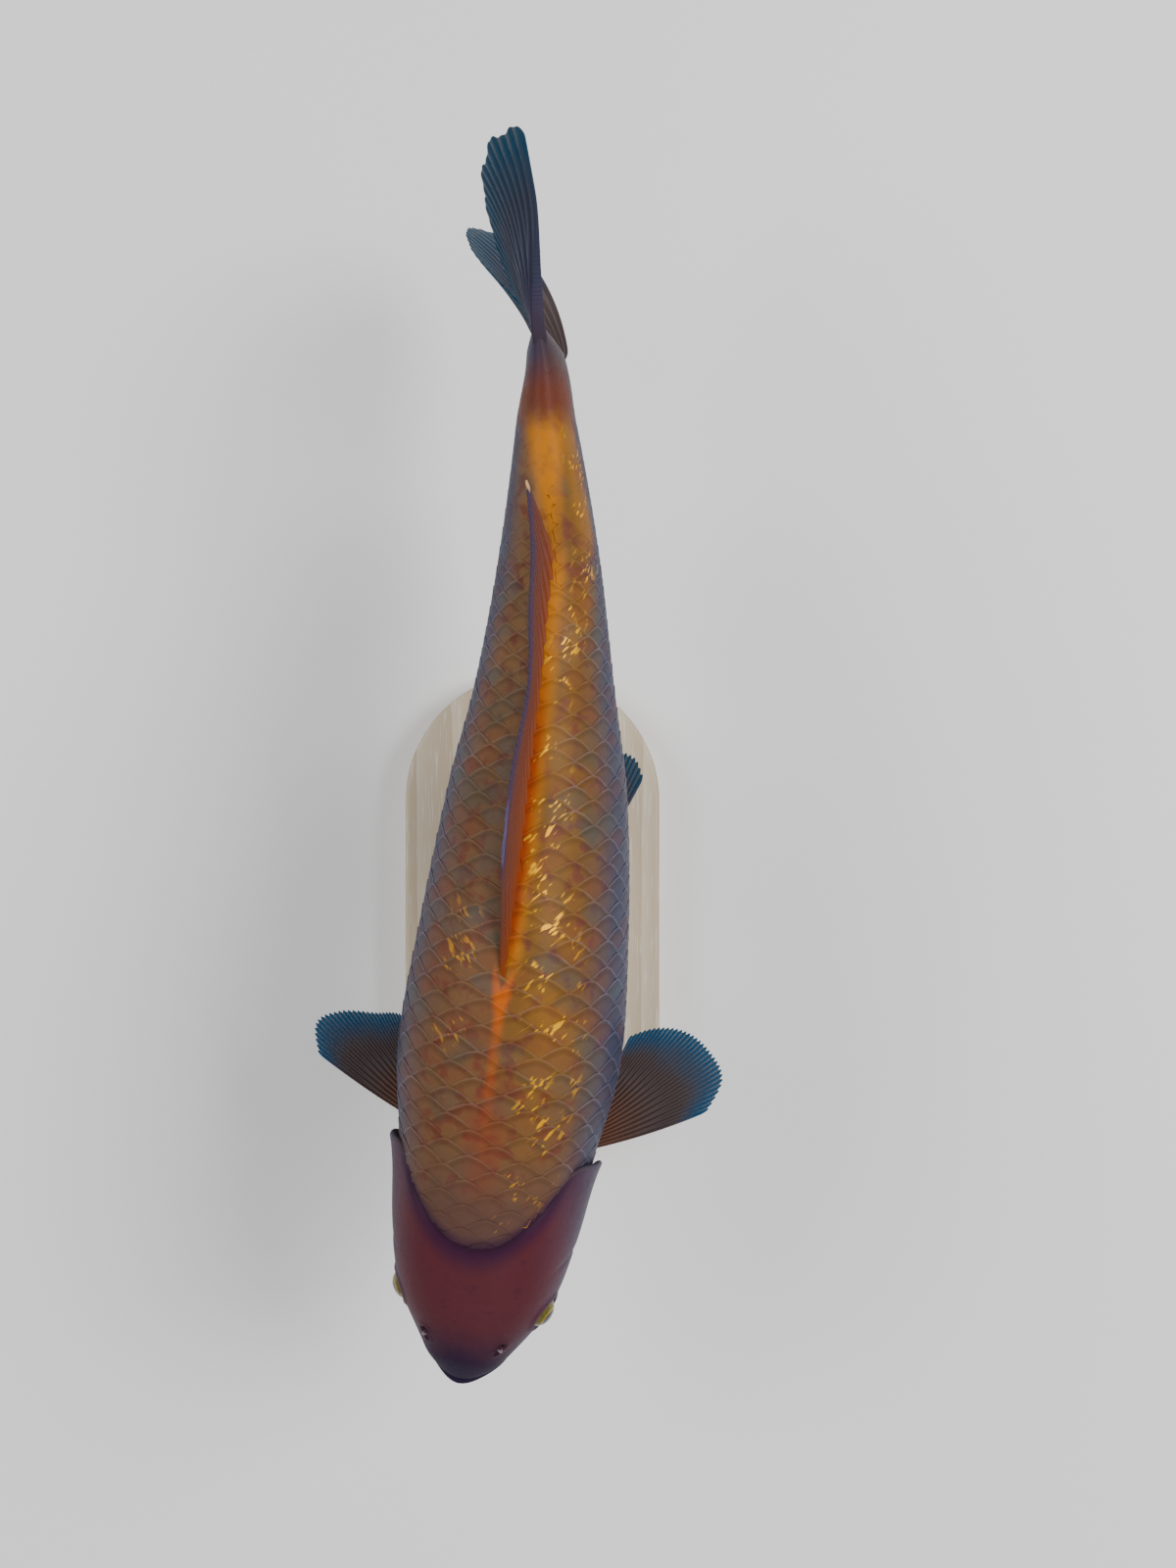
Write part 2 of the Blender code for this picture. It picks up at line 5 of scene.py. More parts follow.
import bmesh
import bpy
import numpy
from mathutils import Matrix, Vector


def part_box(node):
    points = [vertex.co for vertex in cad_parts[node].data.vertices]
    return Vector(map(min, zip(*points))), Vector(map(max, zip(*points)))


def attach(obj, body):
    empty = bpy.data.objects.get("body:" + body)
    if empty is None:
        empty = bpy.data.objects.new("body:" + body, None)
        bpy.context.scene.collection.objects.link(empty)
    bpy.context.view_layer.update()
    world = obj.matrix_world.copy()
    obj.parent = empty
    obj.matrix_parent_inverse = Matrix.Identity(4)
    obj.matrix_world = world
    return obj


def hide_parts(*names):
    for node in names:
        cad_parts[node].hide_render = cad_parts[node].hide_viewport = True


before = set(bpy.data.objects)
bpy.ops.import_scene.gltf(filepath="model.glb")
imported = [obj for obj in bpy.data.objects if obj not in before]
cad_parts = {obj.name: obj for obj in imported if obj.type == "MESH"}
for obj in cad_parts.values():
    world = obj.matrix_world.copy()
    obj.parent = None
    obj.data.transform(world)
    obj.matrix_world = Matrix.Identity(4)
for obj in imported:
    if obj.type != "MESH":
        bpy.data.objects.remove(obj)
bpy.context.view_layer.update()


# ---- stand plate ----
# A flat plate of pale limed ash with round ends and a softened upper edge.  It lies on the
# floor on its whole underside, and the grain runs lengthwise under a thin matt oil.
class Shade:
    """A value or colour in a material; Python's arithmetic on it adds Math nodes."""

    def __init__(self, tree, socket=None):
        self.tree, self.socket = tree, socket

    def node(self, kind, settings, inputs, output=0):
        """Any node by its type: its settings first, then its sockets' values or links."""
        made = self.tree.nodes.new("ShaderNode" + kind)
        for name, value in settings.items():
            setattr(made, name, value)
        for slot, value in inputs.items():
            self.plug(made.inputs[slot], value)
        return Shade(self.tree, made.outputs[output])

    def plug(self, socket, value):
        """Link a socket or set it; colours are given in 0-255 display values."""
        if isinstance(value, Shade):
            self.tree.links.new(value.socket, socket)
        elif socket.type == "RGBA":
            linear = [((part / 255 + 0.055) / 1.055) ** 2.4 for part in value]
            socket.default_value = (*linear, 1.0)
        else:
            socket.default_value = value

    def put(self, word, value):
        """Feed one of the material's own sockets, named by its word."""
        self.plug(self.tree.nodes["Principled BSDF"].inputs[word], value)

    def maths(self, operation, first, second=0.0):
        return self.node("Math", {"operation": operation}, {0: first, 1: second})

    def __add__(self, other):
        return self.maths("ADD", self, other)

    def __sub__(self, other):
        return self.maths("SUBTRACT", self, other)

    def __rsub__(self, other):
        return self.maths("SUBTRACT", other, self)

    def __mul__(self, other):
        return self.maths("MULTIPLY", self, other)

    def __truediv__(self, other):
        return self.maths("DIVIDE", self, other)

    def __pow__(self, other):
        return self.maths("POWER", self, other)

    def __abs__(self):
        return self.maths("ABSOLUTE", self)

    __radd__ = __add__
    __rmul__ = __mul__

    def rise(self, low, high):
        """0 up to low and 1 from high on; it falls instead where low is the greater."""
        return self.node("MapRange", {"interpolation_type": "SMOOTHSTEP"},
                         {"Value": self, "From Min": low, "From Max": high})

    def blend(self, first, second, how="MIX"):
        """The first colour where this value is 0 and the second where it is 1."""
        return self.node("Mix", {"data_type": "RGBA", "blend_type": how},
                         {0: self, 6: first, 7: second}, 2)

    def axes(self):
        return [self.node("SeparateXYZ", {}, {0: self}, axis) for axis in range(3)]

    def noise(self, scale, detail=3.0, vector=None):
        """Cloudy value about 0.5, over the piece unless another vector is given."""
        return self.node("TexNoise", {}, {"Vector": vector or self.object_place(),
                                          "Scale": scale, "Detail": detail})

    def stretched(self, factors):
        return self.node("VectorMath", {"operation": "MULTIPLY"},
                         {0: self.object_place(), 1: factors})

    def relief(self, height, strength, distance):
        return self.node("Bump", {}, {"Height": height, "Strength": strength,
                                      "Distance": distance})

    def object_place(self):
        return self.node("TexCoord", {}, {}, 3)

    def read(self, name, output=2):
        """A named attribute of the mesh: its number, or its vector from output 1."""
        return self.node("Attribute", {"attribute_name": name}, {}, output)


def new_finish(name, **constants):
    """A Principled material with its fixed values, and a Shade to build its nodes from."""
    made = bpy.data.materials.new(name)
    made.use_nodes = True
    shade = Shade(made.node_tree)
    for word, value in constants.items():
        shade.put(word.replace("_", " "), value)
    return made, shade


def settle(bm, outward=False):
    """A bmesh as a mesh, with its faces turned outward where they may point either way."""
    if outward:
        bm.normal_update()
        bmesh.ops.recalc_face_normals(bm, faces=bm.faces)
    mesh = bpy.data.meshes.new("piece")
    bm.to_mesh(mesh)
    bm.free()
    return mesh


def set_out(name, data):
    """A mesh, light or camera as an object in the scene."""
    made = bpy.data.objects.new(name, data)
    bpy.context.scene.collection.objects.link(made)
    return made


def keep(name, mesh, finish, slot, *stands_for, sharp=0):
    """Make a mesh a finished piece on the model, in place of the nodes it stands for."""
    mesh.name = name
    mesh.materials.append(finish)
    mesh.shade_smooth()
    if sharp:
        mesh.set_sharp_from_angle(angle=radians(sharp))
    made = set_out(name, mesh)
    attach(made, "root")
    if stands_for:
        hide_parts(*stands_for)
    return made


def limed_ash():
    made, shade = new_finish("limed_ash", Coat_Roughness=0.45)
    bend = shade.noise(3.0, vector=shade.stretched((9, 1.5, 9)))
    rings = shade.node("TexWave", {"bands_direction": "X", "wave_profile": "SAW"},
                       {"Vector": shade.stretched((1, 0.1, 1)), "Scale": 26.0,
                        "Distortion": 9.0, "Detail": 2.0, "Detail Scale": 1.2}, 1)
    pores = shade.noise(1.0, vector=shade.stretched((1500, 55, 1500))).rise(0.56, 0.68)
    board = (rings * 0.7 + bend * 0.3).blend((204, 190, 166), (176, 156, 126))
    shade.put("Base Color", (pores * 0.55).blend(board, (226, 219, 205)))
    shade.put("Roughness", 0.46 + pores * 0.2)
    shade.put("Normal", shade.relief(1.0 - pores * 0.7 - rings * 0.2, 0.35, 0.0004))
    return made


def stand_plate():
    low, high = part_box("stand_base")
    width, length, height = high - low
    segments, soften = 128, 0.0018
    bm = bmesh.new()
    bmesh.ops.create_circle(bm, cap_ends=True, segments=segments, radius=width / 2)
    straight = (length - width) / 2
    for vert in bm.verts:
        turn = atan2(vert.co.y, vert.co.x) + pi / segments
        end = straight if sin(turn) > 0 else -straight
        vert.co = Vector((cos(turn), sin(turn), 0)) * width / 2 + Vector((0, end, 0))
    raised = bmesh.ops.extrude_face_region(bm, geom=bm.faces[:])["geom"]
    top = [item for item in raised if isinstance(item, bmesh.types.BMVert)]
    bmesh.ops.translate(bm, verts=top, vec=(0, 0, height))
    rim = [edge for edge in bm.edges if all(vert in top for vert in edge.verts)]
    bmesh.ops.bevel(bm, geom=rim, offset=soften, segments=4, profile=0.5, affect="EDGES",
                    material=-1)
    middle = (low + high) / 2
    bmesh.ops.translate(bm, verts=bm.verts, vec=(middle.x, middle.y, 0))
    keep("stand_plate", settle(bm, True), limed_ash(), "stand_plate", "stand_base", sharp=35)


stand_plate()


# ---- stand rods ----
# Two turned rods of brushed stainless steel.  Each has a low collar that screws down on the
# plate, and a slightly flared head let into the belly from below.
def brushed_steel():
    made, shade = new_finish("brushed_steel", Metallic=1.0, Base_Color=(173.4, 173.4, 171.5))
    turned = shade.noise(1.0, vector=shade.stretched((40, 40, 5200)))
    shade.put("Roughness", 0.16 + turned * 0.14)
    shade.put("Normal", shade.relief(turned, 0.18, 0.0001))
    return made


def stand_rod(node, finish, radius=0.004, collar=0.0085, sunk=0.0025):
    low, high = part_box(node)
    middle, top = (low + high) / 2, high.z + sunk - low.z
    outline = ((0, 0), (collar, 0), (collar, 0.0022), (collar - 0.0008, 0.003),
               (radius + 0.0016, 0.0036), (radius + 0.0004, 0.0046), (radius, 0.0062),
               (radius, top - 0.014), (radius + 0.0012, top - 0.004), (radius + 0.0012, top),
               (0, top))
    bm = bmesh.new()
    points = [bm.verts.new((out, 0, up)) for out, up in outline]
    edges = [bm.edges.new(pair) for pair in zip(points, points[1:])]
    bmesh.ops.spin(bm, geom=points + edges, cent=(0, 0, 0), axis=(0, 0, 1),
                   angle=2 * pi, steps=48, use_merge=True)
    bmesh.ops.remove_doubles(bm, verts=bm.verts, dist=1e-6)
    bmesh.ops.translate(bm, verts=bm.verts, vec=(middle.x, middle.y, low.z - 0.0003))
    keep(node + "_turned", settle(bm, True), finish, "stand_steel", node, sharp=40)


steel = brushed_steel()
stand_rod("stand_rod_front", steel)
stand_rod("stand_rod_rear", steel)


# ---- skin ----
# One unbroken skin over head, jaws, gill covers, trunk and tail stalk.  It is worked on the
# straight fish, nose at y = 0 and left side towards +X, and then bent to the swimming
# curve.  Under the scales it lies deeper by their depth; the gill covers fold over it.
BODY_LENGTH, AXIS_HEIGHT, MIDDLE = 0.355, 0.12, 0.45
# knots are (along, value): along runs from 0 at the nose to 1 at the end of the body, and
# widths and heights are shares of the body's length
HALF_WIDTH = ((0, 0.022), (0.03, 0.0415), (0.09, 0.0762), (0.16, 0.093), (0.235, 0.098),
              (0.33, 0.1122), (0.45, 0.106), (0.6, 0.0902), (0.7, 0.0715),
              (0.84, 0.0503), (0.95, 0.0335), (1.0, 0.0252), (1.03, 0.0192))
BACK = ((0, 0.006), (0.03, 0.034), (0.09, 0.0735), (0.155, 0.1065), (0.235, 0.1285),
        (0.33, 0.1465), (0.42, 0.151), (0.55, 0.136), (0.7, 0.106), (0.82, 0.082),
        (0.92, 0.064), (1.03, 0.06))
BELLY = ((0, -0.03), (0.03, -0.05), (0.09, -0.078), (0.155, -0.096), (0.235, -0.113),
         (0.33, -0.126), (0.42, -0.13), (0.55, -0.124), (0.7, -0.1), (0.82, -0.074),
         (0.92, -0.058), (1.03, -0.058))
WIDEST = ((0, -0.013), (0.1, -0.004), (0.3, 0.004), (0.6, 0.004), (1.03, 0.001))
CROWN_SQUARE = ((0, 2.1), (0.09, 2.7), (0.2, 2.4), (0.33, 2.15), (1.03, 2.0))
THROAT_SQUARE = ((0, 2.0), (0.09, 2.0), (0.33, 2.1), (1.03, 2.0))
NOSE, TAIL_ROOT, SKIN_END = 0.03, 1.03, 1.075
TAIL_REACH, TAIL_SET = 0.071, 0.0014
FIN_SUNK, FIN_STIFF, FAN_OPENING = 0.002, 0.003, 0.41
SWAY, TURN = 0.0547, 0.85
NOD, NOD_END = 0.0021, 0.13
ROLL = ((0, -5), (0.6, -4), (0.745, 0), (0.83, 4.2), (0.94, 0), (1.03, -5))
LEFT, RIGHT = 1, -1
SIDES = {LEFT: "left", RIGHT: "right"}


def ease(value):
    """0 up to 0 and 1 from 1 on, with a smooth rise between."""
    value = min(max(value, 0.0), 1.0)
    return value * value * (3 - 2 * value)


def mix(first, second, share):
    return first + (second - first) * share


def hump(distance, width):
    return exp(-(distance / width) ** 2)


def through(knots, place):
    """Value at a place on the smooth curve through (place, value) knots."""
    last = len(knots) - 1
    start = 0
    while start < last - 1 and place > knots[start + 1][0]:
        start += 1

    def slope(index):
        before, after = knots[max(index - 1, 0)], knots[min(index + 1, last)]
        return (after[1] - before[1]) / (after[0] - before[0])

    (x0, y0), (x1, y1) = knots[start], knots[start + 1]
    span = x1 - x0
    f = min(max((place - x0) / span, 0.0), 1.0)
    bow = f * (1 - f) * span
    return mix(y0, y1, f * f * (3 - 2 * f)) \
        + bow * ((1 - f) * slope(start) - f * slope(start + 1))


def tail_sway(reach, height):
    """Sideways bend of the tail fin, which is cupped and swept over to the right."""
    middle = mix(-0.048 * reach ** 1.3, -0.027 * reach ** 1.55, ease(height + 0.5))
    top_edge = 0.0072 * ease(reach / 0.7)
    low_edge = 0.0045 * ease(reach / 0.08) - 0.037 * reach ** 3.1
    root_set = TAIL_SET * (1 - ease(reach / 0.5))
    return mix(middle, top_edge if height > 0 else low_edge, height ** 2) + root_set


def tail_spread(length):
    """Half the height of the tail fin's fan, this far out along its rays."""
    return mix(0.0172, 0.02, ease(length / 0.012))


def skin_point(along, angle):
    """Point of the straight body; angle 0 is its left side and 90 degrees its back."""
    blunt = sqrt(1 - (1 - min(along / NOSE, 1.0)) ** 2)
    upper = sin(angle) > 0
    level = through(WIDEST, along) * BODY_LENGTH
    edge = through(BACK if upper else BELLY, along) * BODY_LENGTH
    square = through(CROWN_SQUARE if upper else THROAT_SQUARE, along)
    radius = (abs(cos(angle)) ** square + abs(sin(angle)) ** square) ** (-1 / square)
    half_width = through(HALF_WIDTH, along) * BODY_LENGTH * blunt
    across = half_width * radius * cos(angle)
    height = level + abs(edge - level) * blunt * radius * sin(angle)
    past = max(along - TAIL_ROOT, 0.0) * BODY_LENGTH
    if past:
        length = past + FIN_SUNK
        across *= 1 - ease((along - TAIL_ROOT) / (SKIN_END - TAIL_ROOT))
        fan = height / (tail_spread(length) + FAN_OPENING * length)
        across += tail_sway(max(length - FIN_STIFF, 0.0) / TAIL_REACH, min(max(fan, -1.0), 1.0))
    else:
        across += TAIL_SET * ease((along - 0.965) / 0.06)
    return Vector((across, along * BODY_LENGTH, height))


def skin_normal(along, angle):
    step = 0.002
    ahead = skin_point(along + step, angle) - skin_point(max(along - step, 0), angle)
    around = skin_point(along, angle + step) - skin_point(along, angle - step)
    return ahead.cross(around).normalized()


def off_skin(along, angle, offset):
    return skin_point(along, angle) + skin_normal(along, angle) * offset


def spine_point(along):
    nod = max(1 - along / NOD_END, 0.0)
    side = SWAY * (along - along ** 3 / (3 * TURN ** 2)) - NOD * nod ** 2
    side_at_middle = SWAY * (MIDDLE - MIDDLE ** 3 / (3 * TURN ** 2))
    return Vector((side - side_at_middle, (along - MIDDLE) * BODY_LENGTH, AXIS_HEIGHT))


def bent(point):
    """Place in the world of a point of the straight fish."""
    along = point.y / BODY_LENGTH
    nod = max(1 - along / NOD_END, 0.0)
    slope = SWAY * (1 - (along / TURN) ** 2) + 2 * NOD * nod / NOD_END
    heading = atan(slope / BODY_LENGTH)
    roll = radians(through(ROLL, along))
    across = point.x * cos(roll) + point.z * sin(roll)
    up = point.z * cos(roll) - point.x * sin(roll)
    left = Vector((cos(heading), -sin(heading), 0))
    return spine_point(along) + left * across + Vector((0, 0, up))


def side_angle(side, degrees):
    """Angle round the body of a direction given upwards from level, on one side."""
    return radians(degrees if side == LEFT else 180 - degrees)


def body_place(point):
    """(across, along, height), across and height running from -1 to 1 over the section."""
    along = max(point.y / BODY_LENGTH, 0.0)
    level = through(WIDEST, along) * BODY_LENGTH
    edge = through(BACK if point.z > level else BELLY, along) * BODY_LENGTH
    return Vector((point.x / (through(HALF_WIDTH, along) * BODY_LENGTH), along,
                   (point.z - level) / abs(edge - level)))


def ball(around, rings, radius=1.0):
    bm = bmesh.new()
    bmesh.ops.create_uvsphere(bm, u_segments=around, v_segments=rings, radius=radius)
    return bm


def note(mesh, **columns):
    """Write named attributes, each with one number or one vector for each vertex."""
    for name, values in columns.items():
        values = numpy.array(values, numpy.float32)
        kind, word = ("FLOAT", "value") if values.ndim == 1 else ("FLOAT_VECTOR", "vector")
        mesh.attributes.new(name, kind, "POINT").data.foreach_set(word, values.ravel())
    return mesh


# the rear edge of the head as (degrees above level, along): a U on the nape, and the gill
# covers' edges, which are free between COVER_FOOT and COVER_TOP
HEAD_EDGE = ((-90, 0.128), (-75, 0.136), (-62, 0.1526), (-40, 0.1994), (-20, 0.2278),
             (3, 0.2395), (16, 0.241), (26, 0.2405), (34, 0.235), (41, 0.222),
             (49, 0.205), (58, 0.1875), (67, 0.1715), (77, 0.1603), (90, 0.155))
COVER_TOP, COVER_FOOT = 46, -76
COVER_FRONT, COVER_FLARE, COVER_THICKNESS = 0.14, 0.003, 0.0021
SCALE_DEPTH = 0.00075
EYE_ALONG, EYE_SIDE, EYE_UP, EYE_RADIUS = 0.0955, 0.0219, 0.008, 0.007
MOUTH_START, MOUTH_DROP, MOUTH_CORNER = -0.0062, 0.41, 0.0153
NOSTRIL_ANGLE, NOSTRIL_FRONT, NOSTRIL_BACK = 50, 0.0465, 0.0545


def rising_degrees(angle):
    """Degrees above level of an angle round the body, the same on both sides."""
    return asin(min(max(sin(angle), -1), 1)) * 180 / pi


def covered(degrees):
    """1 where the head ends in a free gill cover, 0 on the nape and at the throat."""
    return ease((COVER_TOP - degrees) / 20) * ease((degrees - COVER_FOOT) / 34)


def landmarks(side):
    """The two nostril openings, the middle of the eye and the way it looks."""
    pits = [(skin_point(place, side_angle(side, NOSTRIL_ANGLE)), size, depth)
            for place, size, depth in ((NOSTRIL_FRONT, 0.0008, 0.001),
                                       (NOSTRIL_BACK, 0.0011, 0.0017))]
    return (pits, Vector((side * EYE_SIDE, EYE_ALONG * BODY_LENGTH, EYE_UP)),
            skin_normal(EYE_ALONG, side_angle(side, 17)))


LANDMARKS = {side: landmarks(side) for side in SIDES}


def head_relief(point, along, angle):
    """Outward offset of the head's skin, and how deep in a crease it lies as painted shade, 0
    to 1.
    """
    degrees = rising_degrees(angle)
    side = LEFT if cos(angle) > 0 else RIGHT
    # mouth: the cleft, a full lip above and below it, and a fold beyond each lip
    drop = point.z - MOUTH_START + MOUTH_DROP * min(point.y, MOUTH_CORNER + 0.002)
    open_part = 1 - ease((point.y - MOUTH_CORNER + 0.001) / 0.004)
    lips = 1 - ease((point.y - MOUTH_CORNER) / 0.006)
    crease = cleft = hump(drop, 0.00055) * open_part
    full = hump(drop - 0.0024, 0.0016) + hump(drop + 0.0023, 0.0015)
    upper_fold, lower_fold = hump(drop - 0.0056, 0.0009), hump(drop + 0.0052, 0.001)
    out = lips * (0.0012 * full - 0.0007 * upper_fold - 0.0006 * lower_fold) - 0.0022 * cleft
    # nostrils: a small round pit ahead of a wider one
    pits, centre, outwards = LANDMARKS[side]
    for pit, size, depth in pits:
        distance = (point - pit).length
        out += 0.0003 * hump(distance - 2 * size, size) - depth * hump(distance, size)
        crease = max(crease, hump(distance, size * 1.05), 0.3 * hump(distance, size * 2.4))
    # eye: a round socket with a soft raised rim, without lids
    off_axis = point - centre
    ring = (off_axis - outwards * off_axis.dot(outwards)).length
    socket = 1 - ease((ring - 0.005) / 0.001)
    out += 0.0007 * hump(ring - 0.0066, 0.0013) - 0.0028 * socket
    crease = max(crease, 0.8 * socket, 0.4 * hump(ring - 0.0056, 0.0006))
    # cheek: the groove round it, and the gill cover's swell towards its free edge
    edge = through(HEAD_EDGE, degrees)
    front = min(COVER_FRONT, edge - 0.045)
    back = min(max((along - front) / (edge - front), 0.0), 1.0)
    out += COVER_FLARE * back ** 2 * covered(degrees) * ease((COVER_TOP - degrees) / 32)
    groove_line = 0.15 - 0.03 * ((degrees + 5) / 60) ** 2
    groove = hump(along - groove_line, 0.0035) * covered(degrees + 6)
    lower_groove = hump(degrees + 44 + 90 * (along - 0.1), 3.0) \
        * ease((along - 0.055) / 0.02) * (1 - ease((along - 0.15) / 0.02))
    out -= 0.0005 * groove + 0.0004 * lower_groove
    crease = max(crease, 0.22 * groove, 0.18 * lower_groove)
    # nape: the skin dips before it meets the first scales
    nape = hump((edge - along) * BODY_LENGTH, 0.0022) * (1 - covered(degrees))
    out -= 0.0007 * nape
    return out, max(crease, 0.5 * nape)


def skin_station(ring, angle, rings):
    """(along, offset, painted crease shade) for one ring of the skin at one angle round it."""
    head_rings, lip_rings, pocket_rings = 150, 8, 7
    degrees = rising_degrees(angle)
    edge, free = through(HEAD_EDGE, degrees), covered(degrees)
    thickness = mix(0.0005, COVER_THICKNESS, free)
    depth = mix(0.0006, 0.0065, free) / BODY_LENGTH
    if ring <= head_rings:
        along = edge * (ring / head_rings) ** 1.35
        offset, crease = head_relief(skin_point(along, angle), along, angle)
        return along, offset, crease
    rim_offset = head_relief(skin_point(edge, angle), edge, angle)[0]
    ring -= head_rings
    if ring <= lip_rings:
        turn = pi * ring / lip_rings
        along = edge + thickness / 2 * sin(turn) / BODY_LENGTH
        return along, rim_offset - thickness / 2 * (1 - cos(turn)), 0.12 * ring / lip_rings
    ring -= lip_rings
    inner = rim_offset - thickness
    if ring <= pocket_rings:
        share = ring / pocket_rings
        sink = ease((share - 0.6) / 0.4)
        crease = mix(0.12, 1.0, ease(share / 0.5))
        return edge - depth * min(share / 0.8, 1.0), mix(inner, -SCALE_DEPTH, sink), crease
    share = (ring - pocket_rings) / (rings - 1 - head_rings - lip_rings - pocket_rings)
    along = mix(edge - depth, SKIN_END, min(share, 1.0) ** 1.1)
    bare = ease((along - 0.985) / 0.042)
    return along, -SCALE_DEPTH * (1 - bare), ease((edge + 0.006 - along) / 0.01)


def koi_skin_mesh(around=256, rings=262):
    """A sphere whose rings go to their stations along the straight body, then bent."""
    bm = ball(around, rings)
    notes, seam, inner_pole = {}, [], []
    for vert in bm.verts:
        ring = round(acos(max(-1.0, min(1.0, -vert.co.z))) / pi * rings)
        angle = atan2(vert.co.y, vert.co.x)
        if ring in (0, rings):
            end = 0.0 if ring == 0 else SKIN_END
            straight = (skin_point(end, 0.0) + skin_point(end, pi)) / 2
            along, crease = end, 0.0
        else:
            along, offset, crease = skin_station(ring, angle, rings)
            straight = off_skin(along, angle, offset)
        behind = (along - through(HEAD_EDGE, rising_degrees(angle))) * BODY_LENGTH
        notes[vert] = (body_place(straight), crease, behind if ring else -0.05)
        seam += [vert] if ring == rings - 1 else []
        inner_pole += [vert] if ring == rings else []
        vert.co = bent(straight)
    # the last ring lies flat inside the tail fin, and its two sides join there in a seam
    bmesh.ops.delete(bm, geom=inner_pole, context="VERTS")
    bmesh.ops.remove_doubles(bm, verts=seam, dist=1e-6)
    places, creases, behinds = zip(*(notes[vert] for vert in bm.verts))
    bmesh.ops.reverse_faces(bm, faces=bm.faces)
    return note(settle(bm), place=places, crease=creases, behind_head=behinds)


def glint_lane(along):
    """How far over to the left side the painted glints lie: near the ridge in mid body."""
    return 0.46 - along.rise(0.36, 0.6) * 0.26 + along.rise(0.68, 0.86) * 0.48


def head_colours(along, up, behind, cloud, fine):
    """Wine red crown, violet cheeks and snout, dusky rose throat, all finely peppered."""
    cheek = (up + (cloud - 0.5) * 0.4).rise(-1.1, 0.1)
    head = cheek.blend((140, 114, 108), (56, 42, 66))
    head = (up + (cloud - 0.5) * 0.3).rise(0.16, 0.94).blend(head, (84, 36, 43))
    head = (along + (fine - 0.5) * 0.02).rise(0.085, 0.014).blend(head, (33, 19, 47))
    # painted reflection: a lilac band along the free edges of the gill covers
    rim = behind.rise(-0.006, -0.001) * up.rise(0.85, 0.62)
    head = (rim * 0.45).blend(head, (68, 54, 74))
    pepper = fine.rise(0.56, 0.74) * 0.24
    return pepper.blend(head, (36, 18, 34))


def trunk_colours(across, along, up, cloud, fine):
    """Slate flanks paling to the belly; ochre back, more golden on the left; painted sheen by
    the glints.
    """
    wide = across + (cloud - 0.5) * 0.1
    high = up + (cloud - 0.5) * 0.3 + (fine - 0.5) * 0.1
    trunk = high.rise(-1.0, -0.25).blend((152, 136, 130), (92, 84, 94))
    trunk = high.rise(-0.35, 0.25).blend(trunk, (50, 52, 73))
    gilded = wide.rise(-0.1, 0.14) * along.rise(0.2, 0.44)
    back = (along.rise(0.56, 0.72) * 0.6).blend((110, 77, 48), (126, 92, 54))
    back = gilded.blend(back, (117, 80, 30))
    back = fine.rise(0.48, 0.66).blend(back, (104, 58, 40))
    back = (cloud.rise(0.52, 0.66) * 0.6).blend(back, (76, 72, 58))
    trunk = high.rise(0.34, 0.92).blend(trunk, back)
    # painted sheen: a soft golden glow round the clusters of glints along their lane
    glint_sheen = abs(across - glint_lane(along)).rise(0.36, 0.06) * up.rise(0.3, 0.6) \
        * cloud.rise(0.36, 0.62)
    glint_sheen = glint_sheen * (along.rise(0.24, 0.44) * 0.45 + 0.1)
    trunk = glint_sheen.blend(trunk, (160, 104, 12))
    trunk = along.rise(0.27, 0.165).blend(trunk, (88, 62, 54))
    gold = (0.14 + (along - 0.83) * 4.2 - abs(across + 0.02)).rise(-0.06, 0.34) \
        * along.rise(0.79, 0.86) * (along + (fine - 0.5) * 0.03).rise(0.985, 0.94) \
        * up.rise(0.45, 0.85)
    trunk = (gold * (fine.rise(0.7, 0.4) * 0.35 + 0.65)).blend(trunk, (180, 108, 2))
    stalk_end = (along + (cloud - 0.5) * 0.02).rise(0.945, 0.985) * up.rise(-0.1, 0.6)
    trunk = stalk_end.blend(trunk, (98, 48, 32))
    root = across.rise(-0.6, 0.9).blend((52, 44, 68), (64, 50, 54))
    # painted shade: the stalk's end darkens towards its sides and underside
    root = (up.rise(0.8, 0.1) * 0.55).blend(root, (34, 28, 46))
    return (along + (fine - 0.5) * 0.02).rise(0.985, 1.035).blend(trunk, root)


def midline_colours(trunk, across, along, up, fine):
    """The orange line down the ridge, a flare before the back fin and its glow beside it."""
    flare = along.rise(0.38, 0.41) * 0.04
    wander = across + (fine - 0.5) * 0.05
    ridge = (abs(wander) - flare).rise(0.078, 0.0) \
        * (along.rise(0.22, 0.34) * 0.34 + along.rise(0.35, 0.4) * 0.62) \
        * (along - abs(wander) * 0.22).rise(0.416, 0.404)
    trunk = (ridge * up.rise(0.5, 0.9)).blend(trunk, (196, 92, 4))
    blush = ((across / 0.2) ** 2.0 + ((along - 0.262) / 0.055) ** 2.0).rise(1.5, 0.0)
    trunk = (blush * up.rise(0.5, 0.9) * 0.45).blend(trunk, (124, 54, 36))
    glow_width = 0.08 + (along - 0.4) * 0.19
    beside = across.rise(-0.06, -0.01) * up.rise(0.5, 0.9)
    glow = (wander / glow_width).rise(2.1, 0.5) * along.rise(0.405, 0.45) \
        * along.rise(0.86, 0.8) * beside
    trunk = (glow * 0.92).blend(trunk, (186, 112, 2))
    red = (wander / glow_width).rise(1.4, 0.3) * along.rise(0.42, 0.47) \
        * along.rise(0.76, 0.62) * beside
    return (red * 0.85).blend(trunk, (150, 44, 4))


